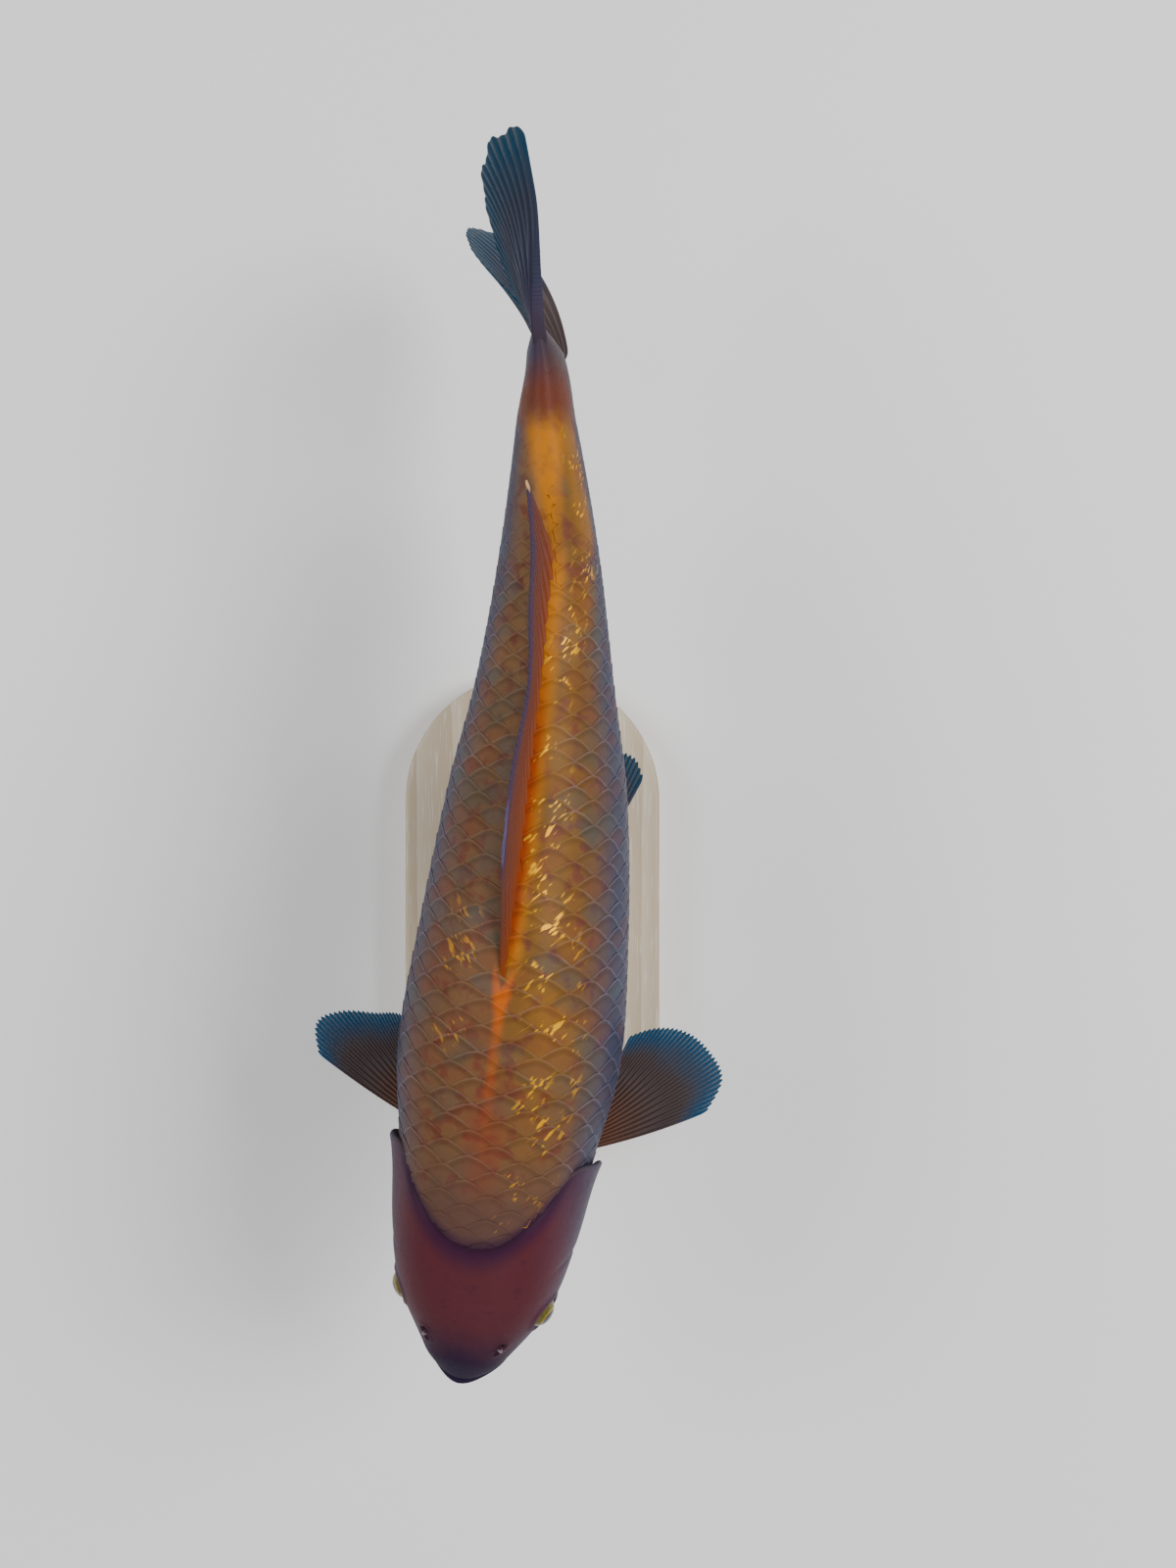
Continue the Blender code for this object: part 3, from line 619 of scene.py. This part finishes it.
def koi_markings(shade):
    """The fish's colours by place on the body: the same for skin, scales and fin roots."""
    behind = shade.read("behind_head")
    across, along, up = shade.read("place", 1).axes()
    cloud = shade.noise(42.0)
    fine = shade.noise(190.0)
    trunk = trunk_colours(across, along, up, cloud, fine)
    trunk = midline_colours(trunk, across, along, up, fine)
    head = head_colours(along, up, behind, cloud, fine)
    colour = behind.rise(-0.0006, 0.0006).blend(head, trunk)
    # painted shade: a dark purple band in the fold where the nape meets the first scales
    nape_fold_shade = behind.rise(-0.012, -0.0015) * behind.rise(0.005, 0.0) * up.rise(0.45, 0.8)
    colour = (nape_fold_shade * 0.8).blend(colour, (48, 17, 50))
    speckle = 0.84 + fine * 0.2 + cloud * 0.12
    return shade.node("VectorMath", {"operation": "SCALE"}, {0: colour, "Scale": speckle})


MOIST = {"Coat_Weight": 0.03, "Specular_IOR_Level": 0.11}


def koi_skin_finish():
    made, shade = new_finish("koi_skin", Coat_Roughness=0.28, **MOIST)
    crease = shade.read("crease")
    colour = koi_markings(shade)
    # painted shade: cleft, nostril pits, eye sockets, grooves, nape dip and gill pockets
    # darkened
    shade.put("Base Color", crease.blend(colour, (22, 12, 20)))
    grain = shade.noise(700.0, 2.0)
    pits = shade.noise(210.0, 1.0)
    along = shade.read("place", 1).axes()[1]
    shade.put("Roughness", 0.42 + grain * 0.18 + along.rise(0.06, 0.01) * 0.25)
    shade.put("Normal", shade.relief(grain * 0.5 + pits, 0.16, 0.0006))
    return made


keep("koi_skin", koi_skin_mesh(), koi_skin_finish(), "head_skin", "head", "lower_jaw",
     "gill_cover_left", "gill_cover_right", "trunk", "tail_stalk")


# ---- eyes ----
# Two glass eyes set deep in their sockets: a black pupil in a thin gold ring, an iris of
# dull olive and gold under a clear domed cornea.
def eye_finish():
    made, shade = new_finish("eye", Coat_Weight=0.5, Coat_Roughness=0.03,
                             Specular_IOR_Level=0.3)
    out = shade.read("from_pupil")
    flecks = shade.noise(900.0, 4.0)
    iris = (flecks * 1.5 - 0.3).blend((58, 58, 16), (128, 116, 34))
    iris = out.rise(0.34, 0.38).blend((150, 124, 44), iris)
    iris = out.rise(0.42, 0.56).blend(iris, (96, 86, 26))
    iris = out.rise(0.66, 0.86).blend(iris, (28, 40, 22))
    shade.put("Base Color", out.rise(0.29, 0.31).blend((13, 13, 18), iris))
    shade.put("Metallic", out.rise(0.3, 0.34) * out.rise(0.62, 0.5) * 0.3)
    shade.put("Roughness", 0.22 + out.rise(0.31, 0.36) * 0.2)
    return made


def eye(side, word, finish, dome=0.0004):
    centre, outwards = LANDMARKS[side][1:]
    turn = (outwards + Vector((0, -0.1, 0.06))).to_track_quat("Z", "Y")
    bm = ball(64, 48, EYE_RADIUS)
    out = [2 / pi * acos(max(-1.0, min(1.0, vert.co.z / EYE_RADIUS))) for vert in bm.verts]
    for vert, angle in zip(bm.verts, out):
        vert.co *= 1 + dome / EYE_RADIUS * (1 - ease((angle - 0.2) / 0.4))
        vert.co = bent(turn @ vert.co + centre)
    keep("eye_ball_" + word, note(settle(bm), from_pupil=out), finish, "eye", "eye_" + word)


eye_look = eye_finish()
for side, word in SIDES.items():
    eye(side, word, eye_look)


# ---- feelers and nostril flaps ----
# Two pairs of soft tapering feelers, one at the corners of the mouth and a shorter one on
# the upper lip, and a thin upright flap of skin between the two openings of each nostril.
def soft_finish(name, colour, tip):
    made, shade = new_finish(name, Coat_Weight=0.2, Coat_Roughness=0.25)
    out = shade.read("out")
    cloud = shade.noise(500.0)
    shade.put("Base Color", (out * 0.8 + cloud * 0.4 - 0.1).blend(colour, tip))
    shade.put("Roughness", 0.4 + cloud * 0.15)
    shade.put("Normal", shade.relief(cloud, 0.2, 0.0004))
    return made


def feeler(name, side, along, degrees, length, thickness, finish):
    angle = side_angle(side, degrees)
    root = off_skin(along, angle, -0.001)
    bm = ball(18, 30)
    outs = []
    for vert in bm.verts:
        out = acos(max(-1.0, min(1.0, -vert.co.z))) / pi
        end = sqrt(max(1 - (max(out - 0.82, 0) / 0.18) ** 2, 0)) * min(out * 12, 1.0)
        flat = Vector((vert.co.x, vert.co.y, 0))
        flat = flat.normalized() if flat.length > 1e-6 else flat
        wave = 0.0004 * sin(out * 5)
        run = Vector((side * 0.45 * (1 - 0.5 * out), 0.1 + 0.4 * out, -0.85)) * length * out
        radius = thickness / 2 * mix(1.15, 0.45, out) * end
        vert.co = bent(root + run + Vector((wave, 0, 0))
                       + Vector((flat.x, flat.y, 0.3 * flat.y)) * radius)
        outs.append(out)
    keep(name + "_soft", note(settle(bm, True), out=outs), finish, "head_skin", name)


def nostril_flap(side, word, finish, width=0.0026, height=0.0019, thickness=0.00045):
    along = (NOSTRIL_FRONT + NOSTRIL_BACK) / 2
    angle = side_angle(side, NOSTRIL_ANGLE)
    root, upwards = skin_point(along, angle), skin_normal(along, angle)
    backwards = Vector((0, 1, 0.25)).normalized()
    bm = ball(24, 14)
    outs = []
    for vert in bm.verts:
        wide, deep, tall = vert.co.x * width / 2, vert.co.y * thickness / 2, vert.co.z * height
        outs.append(max(vert.co.z, 0.0))
        curl = 300 * wide ** 2 + 0.35 * max(tall, 0)
        vert.co = bent(root + upwards.cross(backwards) * wide + upwards * tall
                       + backwards * (deep + curl))
    keep("nostril_flap_" + word, note(settle(bm, True), out=outs), finish, "head_skin")


feeler_look = soft_finish("feeler_skin", (104, 66, 80), (150, 112, 110))
flap_look = soft_finish("nostril_flap", (92, 60, 74), (150, 138, 140))
for side, word in SIDES.items():
    feeler("barbel_mouth_" + word, side, 0.046, -34, 0.013, 0.0022, feeler_look)
    feeler("barbel_lip_" + word, side, 0.024, -30, 0.007, 0.0016, feeler_look)
    nostril_flap(side, word, flap_look)


# ---- scales ----
# About a thousand thin horny plates in staggered lengthwise rows, each rooted in the skin
# and lying over the ones behind it.  They shrink towards the tail, where the topmost and
# lowest rows run out.  Each is a closed plate of a few dozen faces, laid on the body's form.
SCALE_ROWS = ((0.12, 7.5), (0.42, 7.5), (0.7, 6.7), (1.03, 5.4))
SCALE_STEP = ((0.12, 0.008), (0.3, 0.009), (0.55, 0.0084), (0.8, 0.0073), (1.03, 0.0056))
SCALE_WIDE, SCALE_LONG, SCALE_THICK = 1.13, 1.42, 0.00022
SCALES_START, SCALES_END, MOST_ROWS = 0.13, 1.04, 7


def scale_pattern():
    """One flat plate in units of the spacing: x across, y along with its tip at 0."""
    bm = bmesh.new()
    bmesh.ops.create_grid(bm, x_segments=6, y_segments=3, size=0.5)
    for vert in bm.verts:
        across, along = vert.co.x * 2, vert.co.y + 0.5
        x = SCALE_WIDE * across * (0.86 + 0.14 * along)
        rear = -0.5 * abs(x) ** 1.5
        vert.co = Vector((x, mix(-SCALE_LONG + 0.2 * across ** 2, rear, along), 0))
    bmesh.ops.solidify(bm, geom=bm.faces[:], thickness=0.1)
    return settle(bm, True)


def row_angles(along):
    """Angles, their share of the way from lateral line to midlines, and the upper girth."""
    degrees = [step * 5 - 90 for step in range(37)]
    points = [skin_point(along, radians(value)) for value in degrees]
    arc = numpy.cumsum([0] + [(b - a).length for a, b in zip(points, points[1:])])
    middle = arc[18]
    share = numpy.where(arc < middle, (arc - middle) / middle,
                        (arc - middle) / (arc[-1] - middle))
    return numpy.array(degrees), share, arc[-1] - middle


def scale_stations(side):
    """Every plate of one side as (along, row, share, degrees, metres a row)."""
    along, index, found = SCALES_START, 0, []
    while along < SCALES_END:
        degrees, share, quarter = row_angles(along)
        rows = through(SCALE_ROWS, along)
        for row in range(-MOST_ROWS, MOST_ROWS + 1):
            place = row / rows
            staggered = (index + row + (side == RIGHT)) % 2 == 0
            if staggered and abs(row) <= rows - 0.3 and along < SCALES_END - 0.026 * place ** 2:
                middle = float(numpy.interp(place, share, degrees))
                if (along - 0.22 * through(SCALE_STEP, along) / BODY_LENGTH
                        > through(HEAD_EDGE, middle) - 0.003 * covered(middle)):
                    found.append((along, row, place, middle, quarter / rows))
        along += through(SCALE_STEP, along) / 2 / BODY_LENGTH
        index += 1
    return found


def scale_coat(side, pattern, finish):
    """All plates of one side, joined from an array of one pattern and laid on the body."""
    chance = random.Random(5 + side)
    stations = scale_stations(side)
    maker = set_out("scale_array", pattern)
    array = maker.modifiers.new("row", "ARRAY")
    array.count = len(stations)
    array.use_relative_offset, array.use_constant_offset = False, True
    array.constant_offset_displace = (3, 0, 0)
    bpy.context.view_layer.update()
    mesh = bpy.data.meshes.new_from_object(
        maker.evaluated_get(bpy.context.evaluated_depsgraph_get()))
    bpy.data.objects.remove(maker, do_unlink=True)

    local = [vert.co.copy() for vert in pattern.vertices]
    layer_under = [co.z < -0.05 for co in local]
    half_map, map_length, fill = 0.46, 0.94 / 0.93, 0.88
    spots, places, cells, behinds, pores, patches = [], [], [], [], [], []
    for along, row, share, middle, row_width in stations:
        step = through(SCALE_STEP, along)
        value, tilt, twist = chance.random(), chance.uniform(0.9, 1.12), chance.gauss(0, 0.03)
        per_degree = (skin_point(along, radians(middle + 1))
                      - skin_point(along, radians(middle - 1))).length / 2
        for co, under in zip(local, layer_under):
            x, y = co.x - twist * co.y, co.y + twist * co.x
            degrees = middle + x * row_width / per_degree
            spot_along = along + y * step / BODY_LENGTH
            height_angle = rising_degrees(radians(degrees))
            edge = through(HEAD_EDGE, height_angle)
            limit = edge - mix(0.0006, 0.006, covered(height_angle)) / BODY_LENGTH
            lift = 0.00044 * tilt * (1 - 0.8 * ease((along - 0.72) / 0.26))
            height = -0.00005 + lift * y - 0.00014 * co.x ** 2
            if spot_along < limit:
                spot_along, height = limit, min(height, -0.0009)
            angle = side_angle(side, degrees)
            straight = off_skin(spot_along, angle, height - SCALE_THICK * under)
            spots.append(bent(straight))
            places.append(body_place(straight))
            cells.append((co.x, co.y, value))
            behinds.append(max((spot_along - edge) * BODY_LENGTH, 0.0007))
            pores.append(float(row == 0))
        patches.append((0.5 + half_map * share, 0.03 + map_length * (along - SCALES_START),
                        half_map * fill / through(SCALE_ROWS, along),
                        map_length * fill * step / BODY_LENGTH))
    mesh.vertices.foreach_set("co", numpy.array(spots, numpy.float32).ravel())
    mesh.update()
    note(mesh, place=places, cell=cells, behind_head=behinds, lateral_line=pores)

    # OFBake: each plate has its own patch where its tip sits on the unrolled skin, the
    # upper face in most of the patch and the under face in a strip along its front
    corners = []
    for face in pattern.polygons:
        under = all(layer_under[index] for index in face.vertices)
        for index in face.vertices:
            x, y = local[index].x / SCALE_WIDE / 2, local[index].y / SCALE_LONG + 1
            corners.append((x, -0.5 + 0.12 * y if under else -0.34 + 0.84 * y))
    corners, patches = numpy.array(corners), numpy.array(patches)
    bake = patches[:, None, :2] + corners[None, :, :] * patches[:, None, 2:]
    mesh.uv_layers.new(name="OFBake")
    mesh.uv_layers["OFBake"].data.foreach_set("uv", bake.astype(numpy.float32).ravel())
    if side == LEFT:    # laid in mirror image, which turns the plates inside out
        mesh.flip_normals()
    mesh.validate()
    keep("scales_" + SIDES[side], mesh, finish, "scaled_skin", sharp=50)


def scale_finish():
    """Clear horn over the skin's colours, each plate a little its own, with a pale rim."""
    made, shade = new_finish("koi_scales", Coat_Roughness=0.25, **MOIST)
    x, y, value = shade.read("cell", 1).axes()
    across, along, up = shade.read("place", 1).axes()
    mottle = shade.noise(260.0, 2.0)
    patchy = shade.noise(75.0, 2.0)
    from_edge = -0.5 * abs(x) ** 1.5 - y + (mottle - 0.5) * 0.08
    on_back = up.rise(0.4, 0.85)
    plain = 1 - along.rise(0.8, 0.9) * up.rise(0.2, 0.6)

    # each plate's middle is dark, greyish teal or rust, and some are left clear
    colour = koi_markings(shade)
    middle = ((x / 0.7) ** 2.0 + ((y + 0.52) / 0.44) ** 2.0
              + (mottle - 0.5) * 3.0).rise(1.6, 0.2)
    own = value.rise(0.36, 0.5).blend((62, 76, 76), (112, 60, 40))
    depth = abs(value - 0.43).rise(0.05, 0.4) * along.rise(0.18, 0.42) * plain
    near_glow = abs(across - 0.1).rise(0.22, 0.08) * along.rise(0.4, 0.46)
    middle = middle * depth * (on_back * 0.16 + 0.22) * (1 - near_glow * 0.7)
    colour = middle.blend(colour, own)
    shadow = from_edge.rise(0.44, 0.18) * from_edge.rise(0.05, 0.16)
    shadow = shadow * 0.3 * plain * along.rise(0.1, 0.3)
    colour = shadow.blend(colour, (120, 110, 110), "MULTIPLY")
    lilac = on_back.blend((112, 108, 134), (140, 124, 118))
    pale = shade.node("Mix", {"data_type": "RGBA"}, {0: 0.55, 6: colour, 7: lilac}, 2)
    net = from_edge.rise(0.13, 0.01)
    seen = (0.56 - on_back * 0.3 + (patchy - 0.5) * 1.1) * along.rise(0.16, 0.27) \
        * plain * (1 - near_glow * 0.6)
    colour = (net * seen.rise(0.0, 0.9)).blend(colour, pale)

    # painted glints: short slanting strokes in loose clusters along the lane, fewer on the
    # right
    cluster = shade.noise(88.0, 1.0).rise(0.49, 0.58)
    slant = shade.node("CombineXYZ", {}, {0: x * 4.7 + y * 3.7 + value * 31,
                                          1: y * 1.3 - x * 1.0, 2: value * 17})
    strokes = shade.noise(1.0, 1.0, slant).rise(0.57, 0.66)
    left_lane = abs(across - glint_lane(along)).rise(0.34, 0.1) * up.rise(0.35, 0.55) \
        * (along.rise(0.2, 0.32) * 0.6 + 0.4) * along.rise(0.965, 0.93)
    right_lane = abs(across + 0.42).rise(0.2, 0.08) * up.rise(0.5, 0.7) \
        * along.rise(0.33, 0.36) * along.rise(0.52, 0.44) * 0.45
    glints = (left_lane + right_lane) * cluster * strokes
    # painted highlight: the strokes' bright gold stands in for glints on the scales' metallic
    # gold
    colour = glints.blend(colour, (232, 164, 8))
    pore = shade.read("lateral_line") \
        * ((x / 0.08) ** 2.0 + ((y + 0.45) / 0.2) ** 2.0).rise(1.2, 0.4)
    shade.put("Base Color", (pore * 0.5).blend(colour, (44, 36, 42)))
    shade.put("Metallic", glints * 0.3)
    circles = shade.maths("SINE", from_edge * 60.0)
    shade.put("Roughness", 0.5 - glints * 0.1 + value * 0.08)
    shade.put("Normal", shade.relief(circles * 0.25 + net * 0.6 - pore, 0.22, 0.0002))
    return made


scale_look, plate_pattern = scale_finish(), scale_pattern()
for side in SIDES:
    scale_coat(side, plate_pattern, scale_look)


# ---- paired and lower fins ----
# Thin skin stretched over a fan of jointed bony rays, each of which forks on its way to the
# edge.  The rays end a little beyond the skin between them, so the edge is finely notched.
def ray_ridge(across, out, rays):
    """1 on a ray and 0 midway between two; each ray forks part of the way out."""
    phase = pi * across * rays
    whole, forked = cos(phase) ** 2, sin(2 * phase) ** 2
    return mix(whole, forked, ease((out - 0.35) / 0.35))


def fin(name, ray_point, rays, root, tip, finish, nodes, notch=0.045, ragged=0.0, steps=30):
    """A fin on the mid surface ray_point(across, out), thick along its rays."""
    bm = bmesh.new()
    bmesh.ops.create_grid(bm, x_segments=rays * 6, y_segments=steps, size=0.5)
    weights = bm.verts.layers.deform.verify()
    spread, places, mids = bm.loops.layers.uv.new("rays"), [], {}
    for vert in bm.verts:
        across, out = vert.co.x + 0.5, vert.co.y + 0.5
        mids[vert] = (across, out)
        ridge = ray_ridge(across, out, rays)
        border = hump(across, 0.25 / rays) + hump(1 - across, 0.25 / rays)
        body = mix(1.0, tip / root, ease(out * 1.15))
        vert[weights][0] = body * mix(0.42, 1.0, max(ridge, min(border, 1.0)))
        torn = notch * (1 - ridge) + ragged * across * sin(2 * pi * across * rays / 3.2) ** 2
        straight = ray_point(across, out * (1 - torn * ease((out - 0.55) / 0.45)))
        places.append(body_place(straight))
        vert.co = bent(straight)
    for face in bm.faces:
        for loop in face.loops:
            loop[spread].uv = mids[loop.vert]
    mesh = note(settle(bm), place=places, behind_head=[0.01] * len(places))
    made = keep(name, mesh, finish, "fin_membrane", *nodes)
    made.vertex_groups.new(name="taper")
    wall = made.modifiers.new("wall", "SOLIDIFY")
    wall.thickness, wall.offset, wall.vertex_group = root, 0, "taper"
    wall.use_even_offset = False
    finer = made.modifiers.new("finer", "SUBSURF")
    finer.levels = finer.render_levels = 1


def fin_finish(name, rays, root, middle, tip, clear=0.25, contrast=0.45, base=0.04, spots=()):
    """Ray colours from root to tip, darker skin between, and a thin clear outer edge."""
    made, shade = new_finish(name, Coat_Roughness=0.3, **MOIST)
    across, out = shade.node("UVMap", {"uv_map": "rays"}, {}).axes()[:2]
    wavy = across + (shade.noise(120.0) - 0.5) * 0.008
    whole = shade.maths("COSINE", wavy * (2 * pi * rays))
    forked = shade.maths("COSINE", wavy * (4 * pi * rays) + pi)
    fork = out.rise(0.35, 0.7)
    border = across.rise(0.6 / rays, 0.2 / rays) + across.rise(1 - 0.6 / rays, 1 - 0.2 / rays)
    ridge = shade.maths("MAXIMUM", (whole * (1 - fork) + forked * fork) * 0.5 + 0.5, border)
    cloud = shade.noise(90.0)
    worn = out + (cloud - 0.5) * 0.16
    colour = worn.rise(0.12, 0.55).blend(root, middle)
    colour = worn.rise(0.66, 1.0).blend(colour, tip)
    skin_between = ridge.rise(0.55, 0.15)
    colour = (skin_between * contrast).blend(colour, (150, 138, 150), "MULTIPLY")
    colour = out.rise(base * 2.2, base * 0.5).blend(colour, koi_markings(shade))
    for at_across, at_out, size_across, size_out, spot in spots:
        near = ((across - at_across) / size_across) ** 2.0 + ((out - at_out) / size_out) ** 2.0
        colour = near.rise(1.3, 0.2).blend(colour, spot)
    joints = shade.maths("SINE", out * 330.0).rise(0.75, 0.95) * out.rise(0.15, 0.3) \
        * ridge.rise(0.55, 0.9)
    shade.put("Base Color", (joints * 0.35).blend(colour, (28, 22, 30)))
    shade.put("Roughness", 0.42 + cloud * 0.16 - ridge * 0.06)
    shade.put("Alpha", 1 - skin_between * out.rise(0.4, 0.98) * clear
               - out.rise(0.86, 1.0) * clear * 0.5)
    shade.put("Normal", shade.relief(ridge - joints * 0.4, 0.45, 0.0005))
    return made


def pectoral_ray(side, across, out):
    """Spread almost level, low behind the gill cover; the left one is the more open."""
    if side == LEFT:
        lengths = ((0, 0.05), (0.18, 0.059), (0.4, 0.058), (0.6, 0.054), (0.8, 0.046),
                   (1, 0.035))
    else:
        lengths = ((0, 0.051), (0.18, 0.058), (0.35, 0.054), (0.6, 0.043), (0.8, 0.037),
                   (1, 0.029))
    root = Vector((side * mix(0.0275, 0.0265, across), mix(0.0835, 0.096, across), -0.0215))
    angle = radians(mix(19.5, 60, across) + 6 * out)
    length = through(lengths, across) * out
    droop = -0.0015 * sin(pi * across) * out + 0.002 * out ** 2
    return root + Vector((side * cos(angle) * length, sin(angle) * length, droop))


def pelvic_ray(side, across, out):
    """Under the belly, swept back and a little down; the left one is the more open."""
    root = Vector((side * mix(0.0135, 0.0085, across), mix(0.173, 0.183, across), -0.038))
    angle = radians(mix(65 if side == LEFT else 72, 90, across))
    length = through(((0, 0.052), (0.2, 0.056), (0.5, 0.052), (1, 0.034)), across) * out
    return root + Vector((side * cos(angle) * length, sin(angle) * length,
                          -0.3 * length + 0.0015 * out))


def anal_ray(across, out):
    """Behind the vent, half folded."""
    along = mix(0.76, 0.845, across)
    root_height = through(BELLY, along) * BODY_LENGTH + 0.003
    length = through(((0, 0.04), (0.2, 0.047), (0.6, 0.036), (1, 0.024)), across) * out
    angle = radians(mix(50, 34, across) - 6 * out)
    return Vector((-0.004 * out ** 2, along * BODY_LENGTH + cos(angle) * length,
                   root_height - sin(angle) * length))


pectoral_look = fin_finish("pectoral_skin", 16, (124, 88, 72), (80, 68, 66), (8, 74, 110),
                           0.22)
lower_colours = (106, 70, 54), (68, 60, 64), (14, 62, 88)
pelvic_look = fin_finish("pelvic_skin", 9, *lower_colours, 0.2)
anal_look = fin_finish("anal_skin", 8, *lower_colours, 0.2)
fin("anal_fin_skin", anal_ray, 8, 0.0022, 0.0007, anal_look, ["anal_fin"])
for side, word in SIDES.items():
    fin("pectoral_fin_skin_" + word, partial(pectoral_ray, side), 16, 0.003, 0.0007,
        pectoral_look, ["pectoral_fin_" + word])
    fin("pelvic_fin_skin_" + word, partial(pelvic_ray, side), 9, 0.0026, 0.0007, pelvic_look,
        ["pelvic_fin_" + word])


# ---- tail fin ----
# A deeply forked fin in one piece, on the curved end of the tail stalk.  It is swept over
# to the right, cupped, and seen almost edge on from above.
def tail_ray(across, out):
    height = across * 2 - 1
    lengths = ((0, 0.025), (0.25, 0.044), (0.5, 0.062), (0.75, 0.076), (0.9, 0.08), (1, 0.078))
    lobe = mix(0.87, 0.99, ease(height * 4 + 0.5))
    length = through(lengths, abs(height)) * lobe * out
    angle = radians(24 * height)
    reach = max(length - FIN_STIFF, 0.0) * cos(angle) / TAIL_REACH
    return Vector((tail_sway(reach, height),
                   TAIL_ROOT * BODY_LENGTH - FIN_SUNK + cos(angle) * length,
                   height * tail_spread(length) + sin(angle) * length))


tail_look = fin_finish("tail_skin", 18, (58, 52, 76), (40, 46, 64), (6, 56, 80), 0.16, 0.26,
                       base=0.16, spots=((0.06, 0.22, 0.3, 0.4, (76, 64, 62)),))
fin("tail_fin_skin", tail_ray, 18, 0.0056, 0.0009, tail_look,
    ["tail_fin_upper", "tail_fin_lower"], notch=0.018, ragged=0.034, steps=34)


# ---- back fin ----
# The long fin of the back, folded down and leaning to the right.  A stout spine leads it;
# the rays behind lie one along the other, so that from above it is a narrow ribbed strip.
def dorsal_ray(across, out):
    along = mix(0.405, 0.82, across)
    length = through(((0, 0.048), (0.08, 0.062), (0.5, 0.042), (1, 0.03)), across)
    rake, sunk = radians(13), 0.002
    place = along + out * length * cos(rake) / BODY_LENGTH
    height = sin(rake) * length * out - sunk * (1 - out)
    lean = out * through(((0.42, 0.004), (0.6, 0.0045), (0.7, 0.0035), (0.8, 0.0078),
                          (0.92, 0.0085)), place)
    return Vector((-lean, place * BODY_LENGTH, through(BACK, place) * BODY_LENGTH + height))


def dorsal_finish():
    return fin_finish("dorsal_skin", 19, (126, 56, 14), (104, 54, 38), (68, 52, 74), 0.1, 0.14,
                      spots=((0.02, 0.97, 0.04, 0.06, (88, 76, 112)),
                             (1.0, 1.0, 0.03, 0.12, (214, 176, 120))))


fin("dorsal_fin_skin", dorsal_ray, 19, 0.0026, 0.0011, dorsal_finish(), ["dorsal_fin"],
    notch=0.03, steps=24)


# ---- stage ----
# A plain pale floor, a softbox on each side, a weak one before the head, and the camera
# looking straight down on the back.
def softbox(name, place, size, power, aim=Vector((0, 0, 0.1))):
    light = bpy.data.lights.new(name, "AREA")
    light.shape, light.size, light.energy = "SQUARE", size, power
    made = set_out(name, light)
    made.location = place
    made.rotation_euler = (aim - Vector(place)).to_track_quat("-Z", "Y").to_euler()


def pale_floor():
    bm = bmesh.new()
    bmesh.ops.create_grid(bm, x_segments=1, y_segments=1, size=3.0)
    mesh = settle(bm)
    made, shade = new_finish("pale_floor", Roughness=0.8)
    cloud = shade.noise(3.0)
    shade.put("Base Color", cloud.blend((243, 242, 240), (247, 246, 244)))
    mesh.materials.append(made)
    set_out("floor", mesh)


pale_floor()
softbox("softbox_right", (1.05, 0.25, 1.35), 0.9, 26)
softbox("softbox_left", (-1.25, 0.35, 1.2), 1.1, 16)
softbox("softbox_front", (0.0, -1.5, 0.9), 0.9, 3)

world = bpy.data.worlds.new("studio")
world.use_nodes = True
sky = world.node_tree.nodes["Background"].inputs
sky["Color"].default_value = (0.9, 0.93, 1.0, 1.0)
sky["Strength"].default_value = 0.4
bpy.context.scene.world = world

distance, framed = 0.78, 0.5616
view = bpy.data.cameras.new("camera")
view.sensor_fit, view.sensor_height = "VERTICAL", 36.0
view.lens = view.sensor_height * distance / framed
camera = set_out("camera", view)
camera.location = (0.0227, 0.0546, AXIS_HEIGHT + distance)
bpy.context.scene.camera = camera
